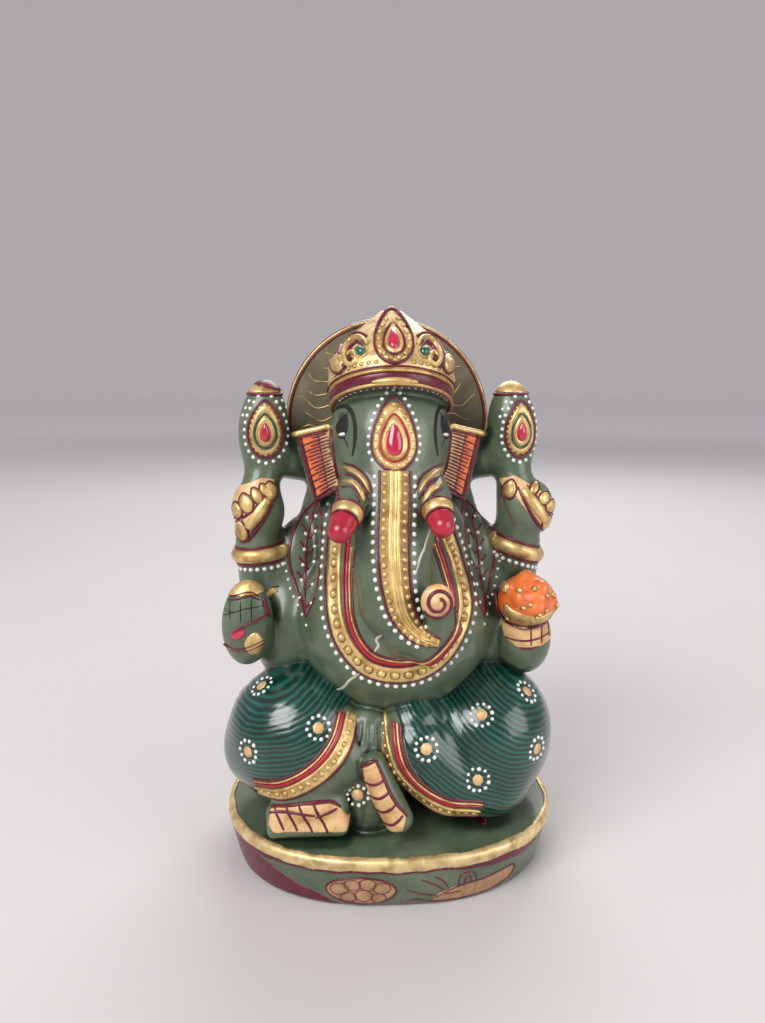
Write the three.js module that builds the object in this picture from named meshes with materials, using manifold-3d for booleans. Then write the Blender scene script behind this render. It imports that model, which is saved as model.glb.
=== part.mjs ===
// A seated elephant-headed devotional idol, carved from one block of green stone.
// The ornaments are raised paste, gilded or lacquered, laid on the stone, and small cut stones set in it.
// Millimetres, +Z up, the idol faces -Y. The origin is the middle of the plinth's flat underside.
import * as THREE from "three";
import { mergeVertices } from "three/addons/utils/BufferGeometryUtils.js";
import Module from "manifold-3d";

const wasm = await Module();
wasm.setup();

// Driving dimensions.
const PLINTH = { halfWidth: 45.5, front: 37, back: 34, centreY: -4, top: 14, taper: 3, power: 2.3 };
const CROWN = { x: 0.3, y: -7.5, rim: 123.3, lean: 22 }; // its axis, the rim's height there, and the rim's tilt
const HALO = { y: 8.6, z: 119, radius: 29.2, thickness: 4.5 };
const GAP = 0.3; // clearance between the stone and what lies on it
const RELIEF = 0.9; // usual thickness of the raised paste

// Finishes.
const STONE = finish(0x4d6152, 0.35);
const GOLD = finish(0xd8ad62, 0.35, 0.6);
const LACQUER_RED = finish(0xb01a35, 0.25);
const LACQUER_MAROON = finish(0x5e1330, 0.3);
const ENAMEL_ORANGE = finish(0xe86a24, 0.35);
const RUBY = finish(0xc8204a, 0.1);
const EMERALD = finish(0x0b5f4c, 0.1);

function finish(color, roughness, metalness = 0) {
  return new THREE.MeshStandardMaterial({ color, roughness, metalness });
}

// ---- Solids -------------------------------------------------------------------------------------

function solid(geometry) {
  const bare = new THREE.BufferGeometry().setAttribute("position", geometry.getAttribute("position"));
  bare.setIndex(geometry.getIndex());
  const merged = mergeVertices(bare, 1e-4);
  return new wasm.Manifold(
    new wasm.Mesh({
      numProp: 3,
      vertProperties: merged.attributes.position.array,
      triVerts: new Uint32Array(merged.index.array),
    }),
  );
}

function geometryOf(body) {
  const mesh = body.getMesh();
  return new THREE.BufferGeometry()
    .setAttribute("position", new THREE.BufferAttribute(new Float32Array(mesh.vertProperties), 3))
    .setIndex(new THREE.BufferAttribute(new Uint32Array(mesh.triVerts), 1));
}

const union = (bodies) => bodies.reduce((whole, body) => whole.add(body));
const largest = (body) => body.decompose().reduce((a, b) => (a.volume() > b.volume() ? a : b));

function placed(geometry, at, turn = [0, 0, 0]) {
  const angles = new THREE.Euler(...turn.map(THREE.MathUtils.degToRad));
  const matrix = new THREE.Matrix4().makeRotationFromEuler(angles).setPosition(...at);
  return geometry.applyMatrix4(matrix);
}

// An ellipsoid: centre, radii, and its turn about X, Y and Z in degrees.
function ball(at, radii, turn, grow = 0, around = 12) {
  const sphere = new THREE.SphereGeometry(1, around, Math.round(around * 0.6));
  sphere.rotateX(Math.PI / 2).scale(...radii.map((r) => r + grow));
  return solid(placed(sphere, at, turn));
}

// A closed tube with round ends along a smooth curve through [x, y, z, radius] points.
function limb(path, grow = 0, sides = 8, spans = 1) {
  const curve = new THREE.CatmullRomCurve3(path.map(([x, y, z]) => new THREE.Vector3(x, y, z)));
  const steps = (path.length - 1) * spans;
  const frames = curve.computeFrenetFrames(steps);
  const radiusAt = (u) => {
    const t = curve.getUtoTmapping(u) * (path.length - 1);
    const i = Math.min(Math.floor(t), path.length - 2);
    return THREE.MathUtils.lerp(path[i][3], path[i + 1][3], t - i) + grow;
  };
  const positions = [];
  const ring = (i, shift, radius) => {
    const centre = curve.getPointAt(i / steps).addScaledVector(frames.tangents[i], shift);
    for (let k = 0; k < sides; k++) {
      const a = (2 * Math.PI * k) / sides;
      const p = centre.clone().addScaledVector(frames.normals[i], radius * Math.cos(a));
      positions.push(...p.addScaledVector(frames.binormals[i], radius * Math.sin(a)).toArray());
    }
  };
  const capAngles = [50].map(THREE.MathUtils.degToRad);
  const [startRadius, endRadius] = [radiusAt(0), radiusAt(1)];
  for (const a of capAngles) ring(0, -startRadius * Math.sin(a), startRadius * Math.cos(a));
  for (let i = 0; i <= steps; i++) ring(i, 0, radiusAt(i / steps));
  for (const a of capAngles.toReversed()) ring(steps, endRadius * Math.sin(a), endRadius * Math.cos(a));
  const rings = positions.length / 3 / sides;
  const poles = [
    [0, -startRadius],
    [steps, endRadius],
  ].map(([i, shift]) => {
    positions.push(...curve.getPointAt(i / steps).addScaledVector(frames.tangents[i], shift).toArray());
    return positions.length / 3 - 1;
  });
  const index = [];
  for (let k = 0; k < sides; k++) {
    const next = (k + 1) % sides;
    index.push(poles[0], next, k);
    for (let r = 0; r < rings - 1; r++) {
      const [a, b] = [r * sides + k, r * sides + next];
      index.push(a, b, a + sides, b, b + sides, a + sides);
    }
    index.push(poles[1], (rings - 1) * sides + k, (rings - 1) * sides + next);
  }
  const tube = new THREE.BufferGeometry();
  tube.setAttribute("position", new THREE.Float32BufferAttribute(positions, 3)).setIndex(index);
  return solid(tube);
}

// Straight stretches, each with round ends, for a limb that bends sharply.
function chain(path, grow = 0, sides = 8) {
  return union(path.slice(1).map((point, i) => limb([path[i], point], grow, sides, 1)));
}

// A front-view outline in X and Z, pushed through from yFront to yBack.
function prism(shape, yFront, yBack, curveSegments = 8) {
  const depth = yBack - yFront;
  const block = new THREE.ExtrudeGeometry(shape, { depth, bevelEnabled: false, curveSegments });
  return solid(block.rotateX(Math.PI / 2).translate(0, yBack, 0));
}

// ---- Outlines, in the front view -------------------------------------------------------------------

function polygon(points) {
  return new THREE.Shape(points.map(([x, z]) => new THREE.Vector2(x, z)));
}

// A band of constant or tapering width along a smooth line of [x, z] points.
function band(points, startWidth, endWidth = startWidth, steps = points.length * 3) {
  const line = new THREE.SplineCurve(points.map(([x, z]) => new THREE.Vector2(x, z)));
  const [left, right] = [[], []];
  for (let i = 0; i <= steps; i++) {
    const [at, along] = [line.getPointAt(i / steps), line.getTangentAt(i / steps)];
    const half = THREE.MathUtils.lerp(startWidth, endWidth, i / steps) / 2;
    left.push(new THREE.Vector2(at.x - along.y * half, at.y + along.x * half));
    right.unshift(new THREE.Vector2(at.x + along.y * half, at.y - along.x * half));
  }
  return new THREE.Shape([...left, ...right]);
}

// A drop with its point upwards: its middle, half-width, and reach up and down, tilted in degrees.
function drop(x, z, half, up, down, tilt = 0, steps = 12) {
  const turned = (px, pz) => new THREE.Vector2(px, pz).rotateAround(new THREE.Vector2(), tilt * THREE.MathUtils.DEG2RAD);
  const points = [];
  for (let i = 0; i < steps; i++) {
    const a = (2 * Math.PI * i) / steps;
    const width = half * Math.sin(a) * (Math.cos(a) > 0 ? 1 - 0.35 * Math.cos(a) ** 2 : 1);
    points.push(turned(width, Math.cos(a) > 0 ? up * Math.cos(a) : down * Math.cos(a)));
  }
  return new THREE.Shape(points.map((p) => p.add(new THREE.Vector2(x, z))));
}

function oval(x, z, rx, rz, tilt = 0, steps = 14) {
  const turn = tilt * THREE.MathUtils.DEG2RAD;
  return new THREE.Shape(new THREE.EllipseCurve(x, z, rx, rz, 0, 2 * Math.PI, false, turn).getPoints(steps).slice(1));
}

// ---- The stone ---------------------------------------------------------------------------------------

function plinth(grow = 0) {
  const { halfWidth, front, back, centreY, top, taper, power } = PLINTH;
  const steps = 30;
  const outline = [];
  for (let i = 0; i < steps; i++) {
    const a = (2 * Math.PI * i) / steps;
    const [c, s] = [Math.cos(a), Math.sin(a)];
    const reach = s < 0 ? front : back;
    const x = Math.sign(c) * Math.abs(c) ** (2 / power) * (halfWidth + grow);
    const y = Math.sign(s) * Math.abs(s) ** (2 / power) * (reach + grow) + centreY;
    outline.push(new THREE.Vector2(x, y));
  }
  const block = new THREE.ExtrudeGeometry(new THREE.Shape(outline), { depth: top + grow, bevelEnabled: false });
  const position = block.getAttribute("position");
  for (let i = 0; i < position.count; i++) {
    if (position.getZ(i) > 0) continue;
    const [x, y] = [position.getX(i), position.getY(i)];
    position.setXY(i, x * (1 - taper / halfWidth), centreY + (y - centreY) * (1 - taper / back));
  }
  return solid(block);
}

// The crown's outline as [radius, height]; its foot is sunk in the head.
const CROWN_PROFILE = [
  [0, 116],
  [14.8, 116],
  [15.5, 124],
  [15.7, 134],
  [13.6, 138],
  [8.9, 142.6],
  [4.4, 146.2],
  [1.8, 148],
  [0, 148.6],
];

function crownForm(grow = 0, around = 18) {
  const points = CROWN_PROFILE.map(([r, z]) => new THREE.Vector2(r ? r + grow : 0, z > 140 ? z + grow : z));
  const turned = new THREE.LatheGeometry(points, around).rotateX(Math.PI / 2);
  const above = tilted(-grow, 60);
  return solid(turned.translate(CROWN.x, CROWN.y, 0)).intersect(above);
}

// A thick slab parallel to the crown's rim, between two heights measured square to the rim.
function tilted(from, to) {
  const slab = new THREE.BoxGeometry(120, 120, to - from).translate(0, 0, (from + to) / 2);
  return solid(placed(slab, [0, CROWN.y, CROWN.rim], [-CROWN.lean, 0, 0]));
}

function haloForm(grow = 0) {
  const disc = new THREE.CylinderGeometry(HALO.radius + grow, HALO.radius + grow, HALO.thickness + 2 * grow, 30);
  return solid(disc.translate(0, HALO.y + HALO.thickness / 2, HALO.z));
}

function headForms(grow) {
  return [
    ball([0, -8, 115.5], [16.3, 16.5, 18], [0, 0, 0], grow, 16),
    limb([[0, -12, 114, 13.5], [0, -17, 106, 11.8], [0, -22, 97, 10.6], [-0.5, -27, 86, 10], [0, -30, 77, 8.8]], grow),
    chain([[0, -30, 77, 8.8], [3, -32.5, 70.5, 6.6], [7.6, -34.5, 68, 5.2], [11.2, -37, 73, 4.2], [9, -40, 80, 3.4]], grow),
  ];
}

function bodyForms(grow) {
  return [
    ball([0.5, 4, 80], [27, 11, 42], [0, 0, 0], grow, 12),
    ball([1.2, -9, 66], [26.2, 24, 25.5], [0, 0, 0], grow, 16),
    ball([1, -7, 88], [20.5, 17, 18], [0, 0, 0], grow),
    limb([[-34.5, 5, 33, 11], [-12, 7, 33, 13], [12, 7, 33, 13], [35.5, 5, 33, 11]], grow),
  ];
}

// What both sides share, at side -1 (the viewer's left) and +1.
function armForms(side, grow) {
  return [
    limb([[side * 17, 6, 108, 6.5], [side * 27, 2, 110, 6.5], [side * 33, -1, 112, 5.5]], grow),
    ball([side * 33.8, -2, 117.6], [6.8, 6.6, 12.8], [0, side * -4, 0], grow),
    limb([[side * 31, 0, 60, 8.5], [side * 34, -2, 74, 7.6], [side * 36, -4, 87, 6.2], [side * 34.5, -4, 104, 5.2],
      [side * 32, -1, 112, 5]], grow),
    ball([side * 25.5, 0, 76], [6.4, 8, 17], [0, 0, 0], grow, 12),
    ball([side * 28, -5, 61], [8.5, 10, 16], [0, 0, 0], grow, 12),
  ];
}

function handForms(grow) {
  return [
    ball([-35.2, -6, 96.8], [7, 5.8, 8.4], [0, -12, 0], grow),
    ball([37.6, -6, 96.4], [7.4, 5.8, 8.4], [0, 12, 0], grow),
    ball([-38, -16, 68], [6.8, 4.6, 11.6], [0, 4, 0], grow),
    limb([[-31, -5, 62, 8], [-37, -13, 63, 5.5]], grow),
    ball([36, -16.5, 73], [6.8, 6.6, 6.6], [0, 0, 0], grow),
    ball([36, -13.5, 61.5], [7.6, 7, 9.6], [0, 0, 0], grow),
    limb([[30, -4, 60, 8], [35, -11, 60, 6.5]], grow),
  ];
}

function legForms(grow) {
  return [
    ball([-24.5, -13.5, 38], [20, 19, 17.5], [0, -14, 0], grow, 14),
    ball([25.8, -13.5, 37.5], [18, 19.5, 17.6], [0, 12, 0], grow, 14),
    limb([[-35, -12, 31, 10.5], [-24, -22, 29, 10.5], [-14, -24, 34, 9.5]], grow),
    limb([[33, -11, 30, 11], [25, -21, 27, 12], [15, -24.5, 28, 10], [8.5, -24, 38, 9]], grow),
    ball([-5, -22, 29], [9, 9.5, 19], [0, 0, 0], grow),
    ball([-22, -28.5, 21], [11.6, 7, 5.4], [0, -4, 0], grow),
    limb([[-5.8, -31, 35, 4.2], [-2, -32.5, 28, 4.4], [1.8, -33.5, 21, 4]], grow),
  ];
}

function tuskForms(grow) {
  return [
    limb([[-7, -20, 106, 4.4], [-9.5, -28, 103.5, 4.2], [-12.8, -35.5, 100, 3.7]], grow),
    limb([[8, -20, 106, 4.4], [9, -28, 104, 4.2], [10, -35.5, 101, 3.7]], grow),
  ];
}

// The ears are flat flaps, their outer edges swept back.
function earForm(side, grow) {
  const outline = polygon([[side * 12, 120], [side * 25, 117.3], [side * 20, 100.2], [side * 12, 102.5]]);
  const flap = new THREE.ExtrudeGeometry(outline, { depth: 4, bevelEnabled: true, bevelSize: 0.6 + grow,
    bevelThickness: 0.6 + grow, bevelSegments: 1 });
  flap.rotateX(Math.PI / 2).translate(side * -14, 0, 0);
  return solid(placed(flap, [side * 14, -8.5, 0], [0, 0, side * 14]));
}

const stones = new Map();
// The whole carved block, its surface moved out by grow.
function stone(grow = 0) {
  if (!stones.has(grow)) {
    const forms = [plinth(grow), haloForm(grow), crownForm(grow), ...headForms(grow), ...bodyForms(grow)];
    for (const side of [-1, 1]) forms.push(...armForms(side, grow), earForm(side, grow));
    forms.push(...handForms(grow), ...legForms(grow), ...tuskForms(grow));
    stones.set(grow, union(forms));
  }
  return stones.get(grow);
}

// ---- Raised work ------------------------------------------------------------------------------------------

// What an outline covers, pushed back onto the surface, between two distances from the stone.
function relief(shape, { from = GAP, to = GAP + RELIEF, front = -60, back = 0, curve = 6 } = {}) {
  return largest(prism(shape, front, back, curve).intersect(stone(to)).subtract(stone(from)));
}

// A coat round one form of the stone, kept to the part of it inside a region.
function coat(form, region) {
  return largest(form.intersect(region).subtract(stone(GAP)));
}

// A cut-out for a piece set into another, clear of it all round.
const cut = (body, ...holes) => holes.reduce((rest, hole) => rest.subtract(prism(hole, -60, 0)), body);

const box = (low, high) => {
  const size = high.map((v, i) => v - low[i]);
  return solid(new THREE.BoxGeometry(...size).translate(...low.map((v, i) => v + size[i] / 2)));
};

// A stretch of a tusk, measured along it from a point in a given direction.
function stretch(at, along, from, to) {
  const slab = new THREE.CylinderGeometry(12, 12, to - from, 12).translate(0, (from + to) / 2, 0);
  const turn = new THREE.Quaternion().setFromUnitVectors(new THREE.Vector3(0, 1, 0), new THREE.Vector3(...along).normalize());
  return solid(slab.applyQuaternion(turn).translate(...at));
}

const sides = [
  ["left", -1],
  ["right", 1],
];

// ---- The group ------------------------------------------------------------------------------------------

const idol = new THREE.Group();

function add(name, body, material) {
  const mesh = new THREE.Mesh(geometryOf(body), material);
  mesh.name = name;
  idol.add(mesh);
}

// Trims anything below the table.
const table = box([-100, -100, -20], [100, 100, 0]);
add("stone_carving", stone().subtract(table), STONE);

// Plinth.
const rimZone = box([-60, -60, PLINTH.top - 3.4], [60, 60, PLINTH.top - 0.6]);
add("base_rim_band", coat(plinth(GAP + RELIEF), rimZone), GOLD);

// Crown. Its bands run parallel to the rim and stop at the halo.
const inFront = box([-40, -60, 100], [40, HALO.y - GAP, 170]);
const crownBand = (from, to, raise) => coat(crownForm(GAP + raise), tilted(from, to).intersect(inFront));
const clasp = box([-5, -40, 120], [5.6, 0, 140]);
const claspRoom = box([-5 - GAP, -40, 120], [5.6 + GAP, 0, 140]);
const cord = crownBand(0, 1.1, 1.2).subtract(claspRoom);
const half = { left: box([-40, -60, 100], [0, 60, 170]), right: box([0, -60, 100], [40, 60, 170]) };
for (const [side] of sides) add(`crown_rim_cord_lower_${side}`, largest(cord.intersect(half[side])), GOLD);
add("brow_clasp", largest(crownBand(-0.1, 1.1, 1.8).intersect(clasp)), GOLD);
add("crown_rim_band", crownBand(1.4, 2.8, 0.8), LACQUER_MAROON);
add("crown_rim_cord_upper", crownBand(3.1, 4.1, 1.2), GOLD);

const crownDrop = { plaque: [0.2, 139.9, 4.6, 8.7, 4.7], ruby: [0.1, 139.6, 1.7, 4.4, 2] };
const wider = ([x, z, w, up, down, tilt = 0], by = GAP) => drop(x, z, w + by, up + by * 2, down + by, tilt);
const scroll = (side) => [side * 9 - 0.1, 137.8, 3.3, 4.4, 2.9, side * 12];
const emerald = (side, by = 0) => oval(side * 7.5 - 0.1, 138, 1.1 + by, 1.1 + by, 0, 8);
const rosette = (side, by = 0) => oval(side * 13.8 + 0.3, 135.4, 1.9 + by, 2.2 + by, 0, 10);
const shellRoom = sides.flatMap(([, s]) => [wider(scroll(s)), rosette(s, GAP)]);
add("crown_shell", largest(cut(crownBand(4.4, 60, 0.8), wider(crownDrop.plaque), ...shellRoom)), GOLD);
const onCrown = { to: 2.2, back: -6 };
add("crown_centre_plaque", largest(cut(relief(drop(...crownDrop.plaque), onCrown), wider(crownDrop.ruby))), GOLD);
add("crown_centre_ruby", relief(drop(...crownDrop.ruby), { to: 3, back: -6 }), RUBY);
for (const [side, s] of sides) {
  add(`crown_scroll_${side}`, largest(cut(relief(drop(...scroll(s)), onCrown), emerald(s, GAP))), GOLD);
  add(`crown_emerald_${side}`, relief(emerald(s), { to: 2.7, back: -6 }), EMERALD);
  add(`crown_side_rosette_${side}`, relief(rosette(s), { to: 2, back: -6 }), GOLD);
}

// Brow mark and trunk.
const tilak = { plaque: [0, 115.6, 5.6, 10.6, 6], ruby: [0, 115.2, 1.9, 5.6, 2.2] };
add("tilak_plaque", largest(cut(relief(drop(...tilak.plaque), { back: -10 }), wider(tilak.ruby))), GOLD);
add("tilak_ruby", relief(drop(...tilak.ruby), { to: 2, back: -10 }), RUBY);
const stripLine = [[0, 109], [-0.2, 102.5], [-0.6, 96], [-0.7, 89.3], [-0.2, 82.5], [1.4, 76.4], [5, 71.6], [9.4, 70.4]];
add("trunk_strip", relief(band(stripLine, 7, 2.4, 14), { back: -24 }), GOLD);
add("trunk_tip_rosette", relief(oval(8.9, 80.7, 2.6, 3), { back: -38 }), GOLD);

const tusks = { left: { at: [-9.5, -28, 103.5], along: [-3.3, -7.5, -3.5] }, right: { at: [9, -28, 104], along: [1, -7.5, -3] } };
tuskForms(GAP + RELIEF).forEach((tusk, i) => {
  const side = sides[i][0];
  const { at, along } = tusks[side];
  add(`tusk_sheath_${side}`, coat(tusk, stretch(at, along, 2.6, 6)), GOLD);
  add(`tusk_tip_${side}`, coat(tusk, stretch(at, along, 6.3, 20)), LACQUER_RED);
});

// Ears: an inner panel, and a border along the outer edge.
for (const [side, s] of sides) {
  const panel = polygon([[s * 15.5, 118.9], [s * 20.6, 117.9], [s * 17.4, 101.6], [s * 14, 102.4]]);
  const border = polygon([[s * 21, 117.8], [s * 24.4, 116.9], [s * 19.8, 101.1], [s * 17.8, 101.5]]);
  add(`ear_panel_${side}`, relief(panel, { front: -16, back: -6 }), GOLD);
  add(`ear_border_${side}`, relief(border, { front: -16, back: -3 }), ENAMEL_ORANGE);
}

// Necklace: a broad band and its inner lining.
const collar = [[-13.6, 95], [-14.4, 88], [-14.9, 80.5], [-14.5, 72.8], [-12.2, 66.3], [-7.6, 61.2], [-1.2, 59.2],
  [5.6, 59.8], [11, 62.8], [15.1, 67.8], [17.7, 73.4], [17.6, 79], [15.8, 86], [13.4, 92.5]];
const lining = [[-10.7, 95], [-11.4, 88], [-11.9, 80.5], [-11.6, 73.8], [-9.7, 68.5], [-6, 64.2], [-0.9, 62.4],
  [4.5, 62.9], [8.8, 65.3], [12.3, 69.6], [14.6, 74.2], [14.5, 79], [12.8, 86], [10.6, 92.5]];
add("necklace_band", relief(band(collar, 4.2, 4.2, 20), { back: -8 }), GOLD);
add("necklace_lining", relief(band(lining, 1, 1, 18), { back: -8 }), LACQUER_RED);

// Raised hands: a jewelled plaque on each, and a cap on the fingertips.
const plaques = { left: [-32.8, 117, 4.3, 8, 5.8], right: [35, 116.9, 3.9, 8, 5.8] };
const jewels = { left: [-32.7, 116.8, 1.4, 3.7, 1.9], right: [35, 116.7, 1.3, 3.7, 1.9] };
for (const [side, s] of sides) {
  const back = -2;
  add(`upper_hand_plaque_${side}`, largest(cut(relief(drop(...plaques[side]), { back }), wider(jewels[side]))), GOLD);
  add(`upper_hand_ruby_${side}`, relief(drop(...jewels[side]), { to: 2, back }), RUBY);
  const tips = s < 0 ? box([-45, -20, 127.6], [-25, 20, 140]) : box([25, -20, 127.6], [45, 20, 140]);
  add(`upper_hand_cap_${side}`, coat(armForms(s, GAP + RELIEF)[1], tips), GOLD);
}

// Lower arms: gilded knuckles and a bangle on each.
const knuckles = {
  left: [[-41, 99], [-38.5, 103.4], [-30.5, 103.2], [-30, 100], [-38, 92.5], [-41, 93.5]],
  right: [[31.6, 101], [32.6, 103.4], [40, 103.2], [44, 98.5], [42.4, 92.5], [38, 96.5]],
};
for (const [side, s] of sides) {
  add(`fist_gilding_${side}`, relief(polygon(knuckles[side]), { back: -4 }), GOLD);
  const ring = box([Math.min(0, s * 60), -30, 84.2], [Math.max(0, s * 60), 30, 87]);
  add(`bangle_${side}`, coat(armForms(s, GAP + 1.3)[2], ring), GOLD);
}

// The sweet and the hand that holds it; the hand raised in blessing.
add("modak_coat", coat(handForms(GAP + RELIEF)[4], box([20, -40, 69.6], [60, 10, 90])), ENAMEL_ORANGE);
add("modak_hand_gilding", relief(polygon([[30, 62.6], [30.6, 68.4], [41.6, 68.4], [42.2, 62.6]]), { back: -14 }), GOLD);
add("blessing_hand_fingertips", relief(polygon([[-43, 75], [-41.6, 78], [-34.4, 78], [-33, 75]]), { back: -14 }), GOLD);
add("blessing_palm_oval", relief(oval(-38.2, 64.6, 3.1, 2.5, 0, 12), { back: -16 }), GOLD);
add("blessing_thumb_tip", relief(oval(-34.2, 71.4, 1.5, 2, 20, 8), { back: -14 }), GOLD);

// Garment: green enamel on each leg, a hem along it, and small bosses.
const hems = {
  left: [[-11.2, 44.8], [-12.8, 40.6], [-17, 35.2], [-24, 30.4], [-32, 27.4]],
  right: [[-1.4, 42.6], [-0.6, 36.4], [2.4, 29.4], [8.6, 23.6], [17, 20]],
};
const cloth = {
  left: [[-43.4, 44], [-41, 51], [-35, 56], [-28, 56.4], [-21, 52], [-14.4, 46.6], [-15.4, 41.6], [-19.2, 37.2],
    [-25.4, 33], [-33.5, 30.2], [-41, 33]],
  right: [[1.6, 42.8], [6, 44.8], [16, 50], [23, 55], [31, 56], [38.5, 51], [42.4, 42], [41.5, 32], [33, 23.4],
    [19, 22.6], [10.6, 26.2], [5, 31.2], [2.2, 37.4]],
};
const bosses = {
  left: [[-33.8, 50], [-19.6, 44.6], [-36.8, 38]],
  right: [[7.4, 39.4], [22.3, 46.6], [21, 31.2], [34.6, 48.4], [36.6, 36.4]],
};
const boss = ([x, z], by = 0) => oval(x, z, 1.8 + by, 1.8 + by, 0, 10);
for (const [side] of sides) {
  const skin = relief(polygon(cloth[side]), { to: 0.9, back: -8 });
  add(`dhoti_enamel_${side}`, largest(cut(skin, ...bosses[side].map((at) => boss(at, GAP)))), EMERALD);
  add(`hem_band_${side}`, relief(band(hems[side], 3.6, 2.6, 12), { back: -14 }), GOLD);
  bosses[side].forEach((at, i) => add(`dhoti_boss_${side}_${i + 1}`, relief(boss(at), { to: 1.5 }), GOLD));
}
add("dhoti_boss_centre", relief(boss([-9.6, 25.6]), { to: 1.5 }), GOLD);

// Feet.
const toes = { left: [[-31.6, 19.4], [-31, 23.6], [-15, 25.2], [-14.4, 19.6]], right: [[-5.6, 36.6], [-2.4, 29], [1.6, 22]] };
add("toes_left", relief(polygon(toes.left), { back: -26 }), GOLD);
add("toes_right", relief(band(toes.right, 4.6, 4.6, 6), { back: -30 }), GOLD);

export default idol;
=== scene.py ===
"""Looks for a seated elephant-headed idol: carved green stone, gilt and lacquered paste, enamel, gems.

Metres in Blender, millimetres in this script, +Z up, the idol faces -Y.
"""

import functools
import itertools
import math
import random

import bpy
import numpy as np
import openvdb
from mathutils import Matrix, Vector


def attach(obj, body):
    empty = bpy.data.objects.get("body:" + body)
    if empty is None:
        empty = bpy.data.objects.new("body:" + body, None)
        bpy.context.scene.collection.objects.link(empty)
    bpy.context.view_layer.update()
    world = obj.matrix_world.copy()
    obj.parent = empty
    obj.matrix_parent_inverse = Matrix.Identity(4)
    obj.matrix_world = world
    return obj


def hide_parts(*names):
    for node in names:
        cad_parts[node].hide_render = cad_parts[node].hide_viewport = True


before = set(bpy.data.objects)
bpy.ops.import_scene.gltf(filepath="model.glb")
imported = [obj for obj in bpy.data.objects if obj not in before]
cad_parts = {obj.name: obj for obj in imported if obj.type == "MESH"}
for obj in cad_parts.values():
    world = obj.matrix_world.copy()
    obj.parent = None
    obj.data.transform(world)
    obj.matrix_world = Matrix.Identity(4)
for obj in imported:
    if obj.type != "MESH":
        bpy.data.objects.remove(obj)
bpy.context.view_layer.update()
MM = 0.001
random.seed(7)


# ---- Distance fields ----
# A form is (distance function, low corner, high corner, blend radius, sign). Sign -1 carves.

# What the grid holds before any form is added, and how far past its corners a form still counts.
FAR = 9.0
MARGIN = 3.0


def turn(rx=0.0, ry=0.0, rz=0.0):
    """A rotation in degrees, about X first, then Y, then Z."""
    m = Matrix.Rotation(math.radians(rz), 3, "Z")
    m = m @ Matrix.Rotation(math.radians(ry), 3, "Y") @ Matrix.Rotation(math.radians(rx), 3, "X")
    return np.array(m, np.float32)


def local(p, at, rot):
    """Points in a form's own axes."""
    d = [p[i] - at[i] for i in range(3)]
    if rot is None:
        return d
    return [rot[0, i] * d[0] + rot[1, i] * d[1] + rot[2, i] * d[2] for i in range(3)]


def rounded(gaps, edge):
    """Distance to a shape with rounded edges, from the distances to its faces drawn in by the rounding."""
    outside = np.sqrt(sum(np.maximum(gap, 0) ** 2 for gap in gaps))
    return outside + np.minimum(functools.reduce(np.maximum, gaps), 0) - edge


def egg(at, r, rot=(0, 0, 0), k=2.5, sign=1):
    """A ball stretched to three half-lengths."""
    m = turn(*rot) if any(rot) else None

    def f(p):
        x, y, z = local(p, at, m)
        k0 = np.sqrt((x / r[0]) ** 2 + (y / r[1]) ** 2 + (z / r[2]) ** 2) + 1e-6
        k1 = np.sqrt((x / r[0] ** 2) ** 2 + (y / r[1] ** 2) ** 2 + (z / r[2] ** 2) ** 2) + 1e-6
        return k0 * (k0 - 1) / k1

    reach = max(r)
    return (f, [c - reach for c in at], [c + reach for c in at], k, sign)


def arm(path, k=2.5, sign=1):
    """Round-ended stretches through (x, y, z, radius) points."""

    def f(p):
        best = None
        for a, b in zip(path, path[1:]):
            ab = [b[i] - a[i] for i in range(3)]
            d = [p[i] - a[i] for i in range(3)]
            t = (d[0] * ab[0] + d[1] * ab[1] + d[2] * ab[2]) / (sum(c * c for c in ab) + 1e-6)
            t = np.clip(t, 0, 1)
            q = np.sqrt(sum((d[i] - t * ab[i]) ** 2 for i in range(3))) - (a[3] + t * (b[3] - a[3]))
            best = q if best is None else np.minimum(best, q)
        return best

    lo = [min(q[i] - q[3] for q in path) for i in range(3)]
    hi = [max(q[i] + q[3] for q in path) for i in range(3)]
    return (f, lo, hi, k, sign)


def brick(at, half, rot=(0, 0, 0), edge=1.0, k=1.5, sign=1):
    """A block with rounded edges."""
    m = turn(*rot) if any(rot) else None

    def f(p):
        return rounded([np.abs(v) - (h - edge) for v, h in zip(local(p, at, m), half)], edge)

    reach = math.sqrt(sum(h * h for h in half))
    return (f, [c - reach for c in at], [c + reach for c in at], k, sign)


def together(forms, k=0.7):
    """Several forms, blended with each other first and then with the rest more sharply."""

    def f(p):
        total = None
        for form, _, _, blend, _ in forms:
            d = form(p)
            if total is None:
                total = d
                continue
            h = np.clip(0.5 + 0.5 * (total - d) / blend, 0, 1)
            total = total + (d - total) * h - blend * h * (1 - h)
        return total

    low = [min(q[1][i] for q in forms) - 2 for i in range(3)]
    high = [max(q[2][i] for q in forms) + 2 for i in range(3)]
    return (f, low, high, k, 1)


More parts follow.
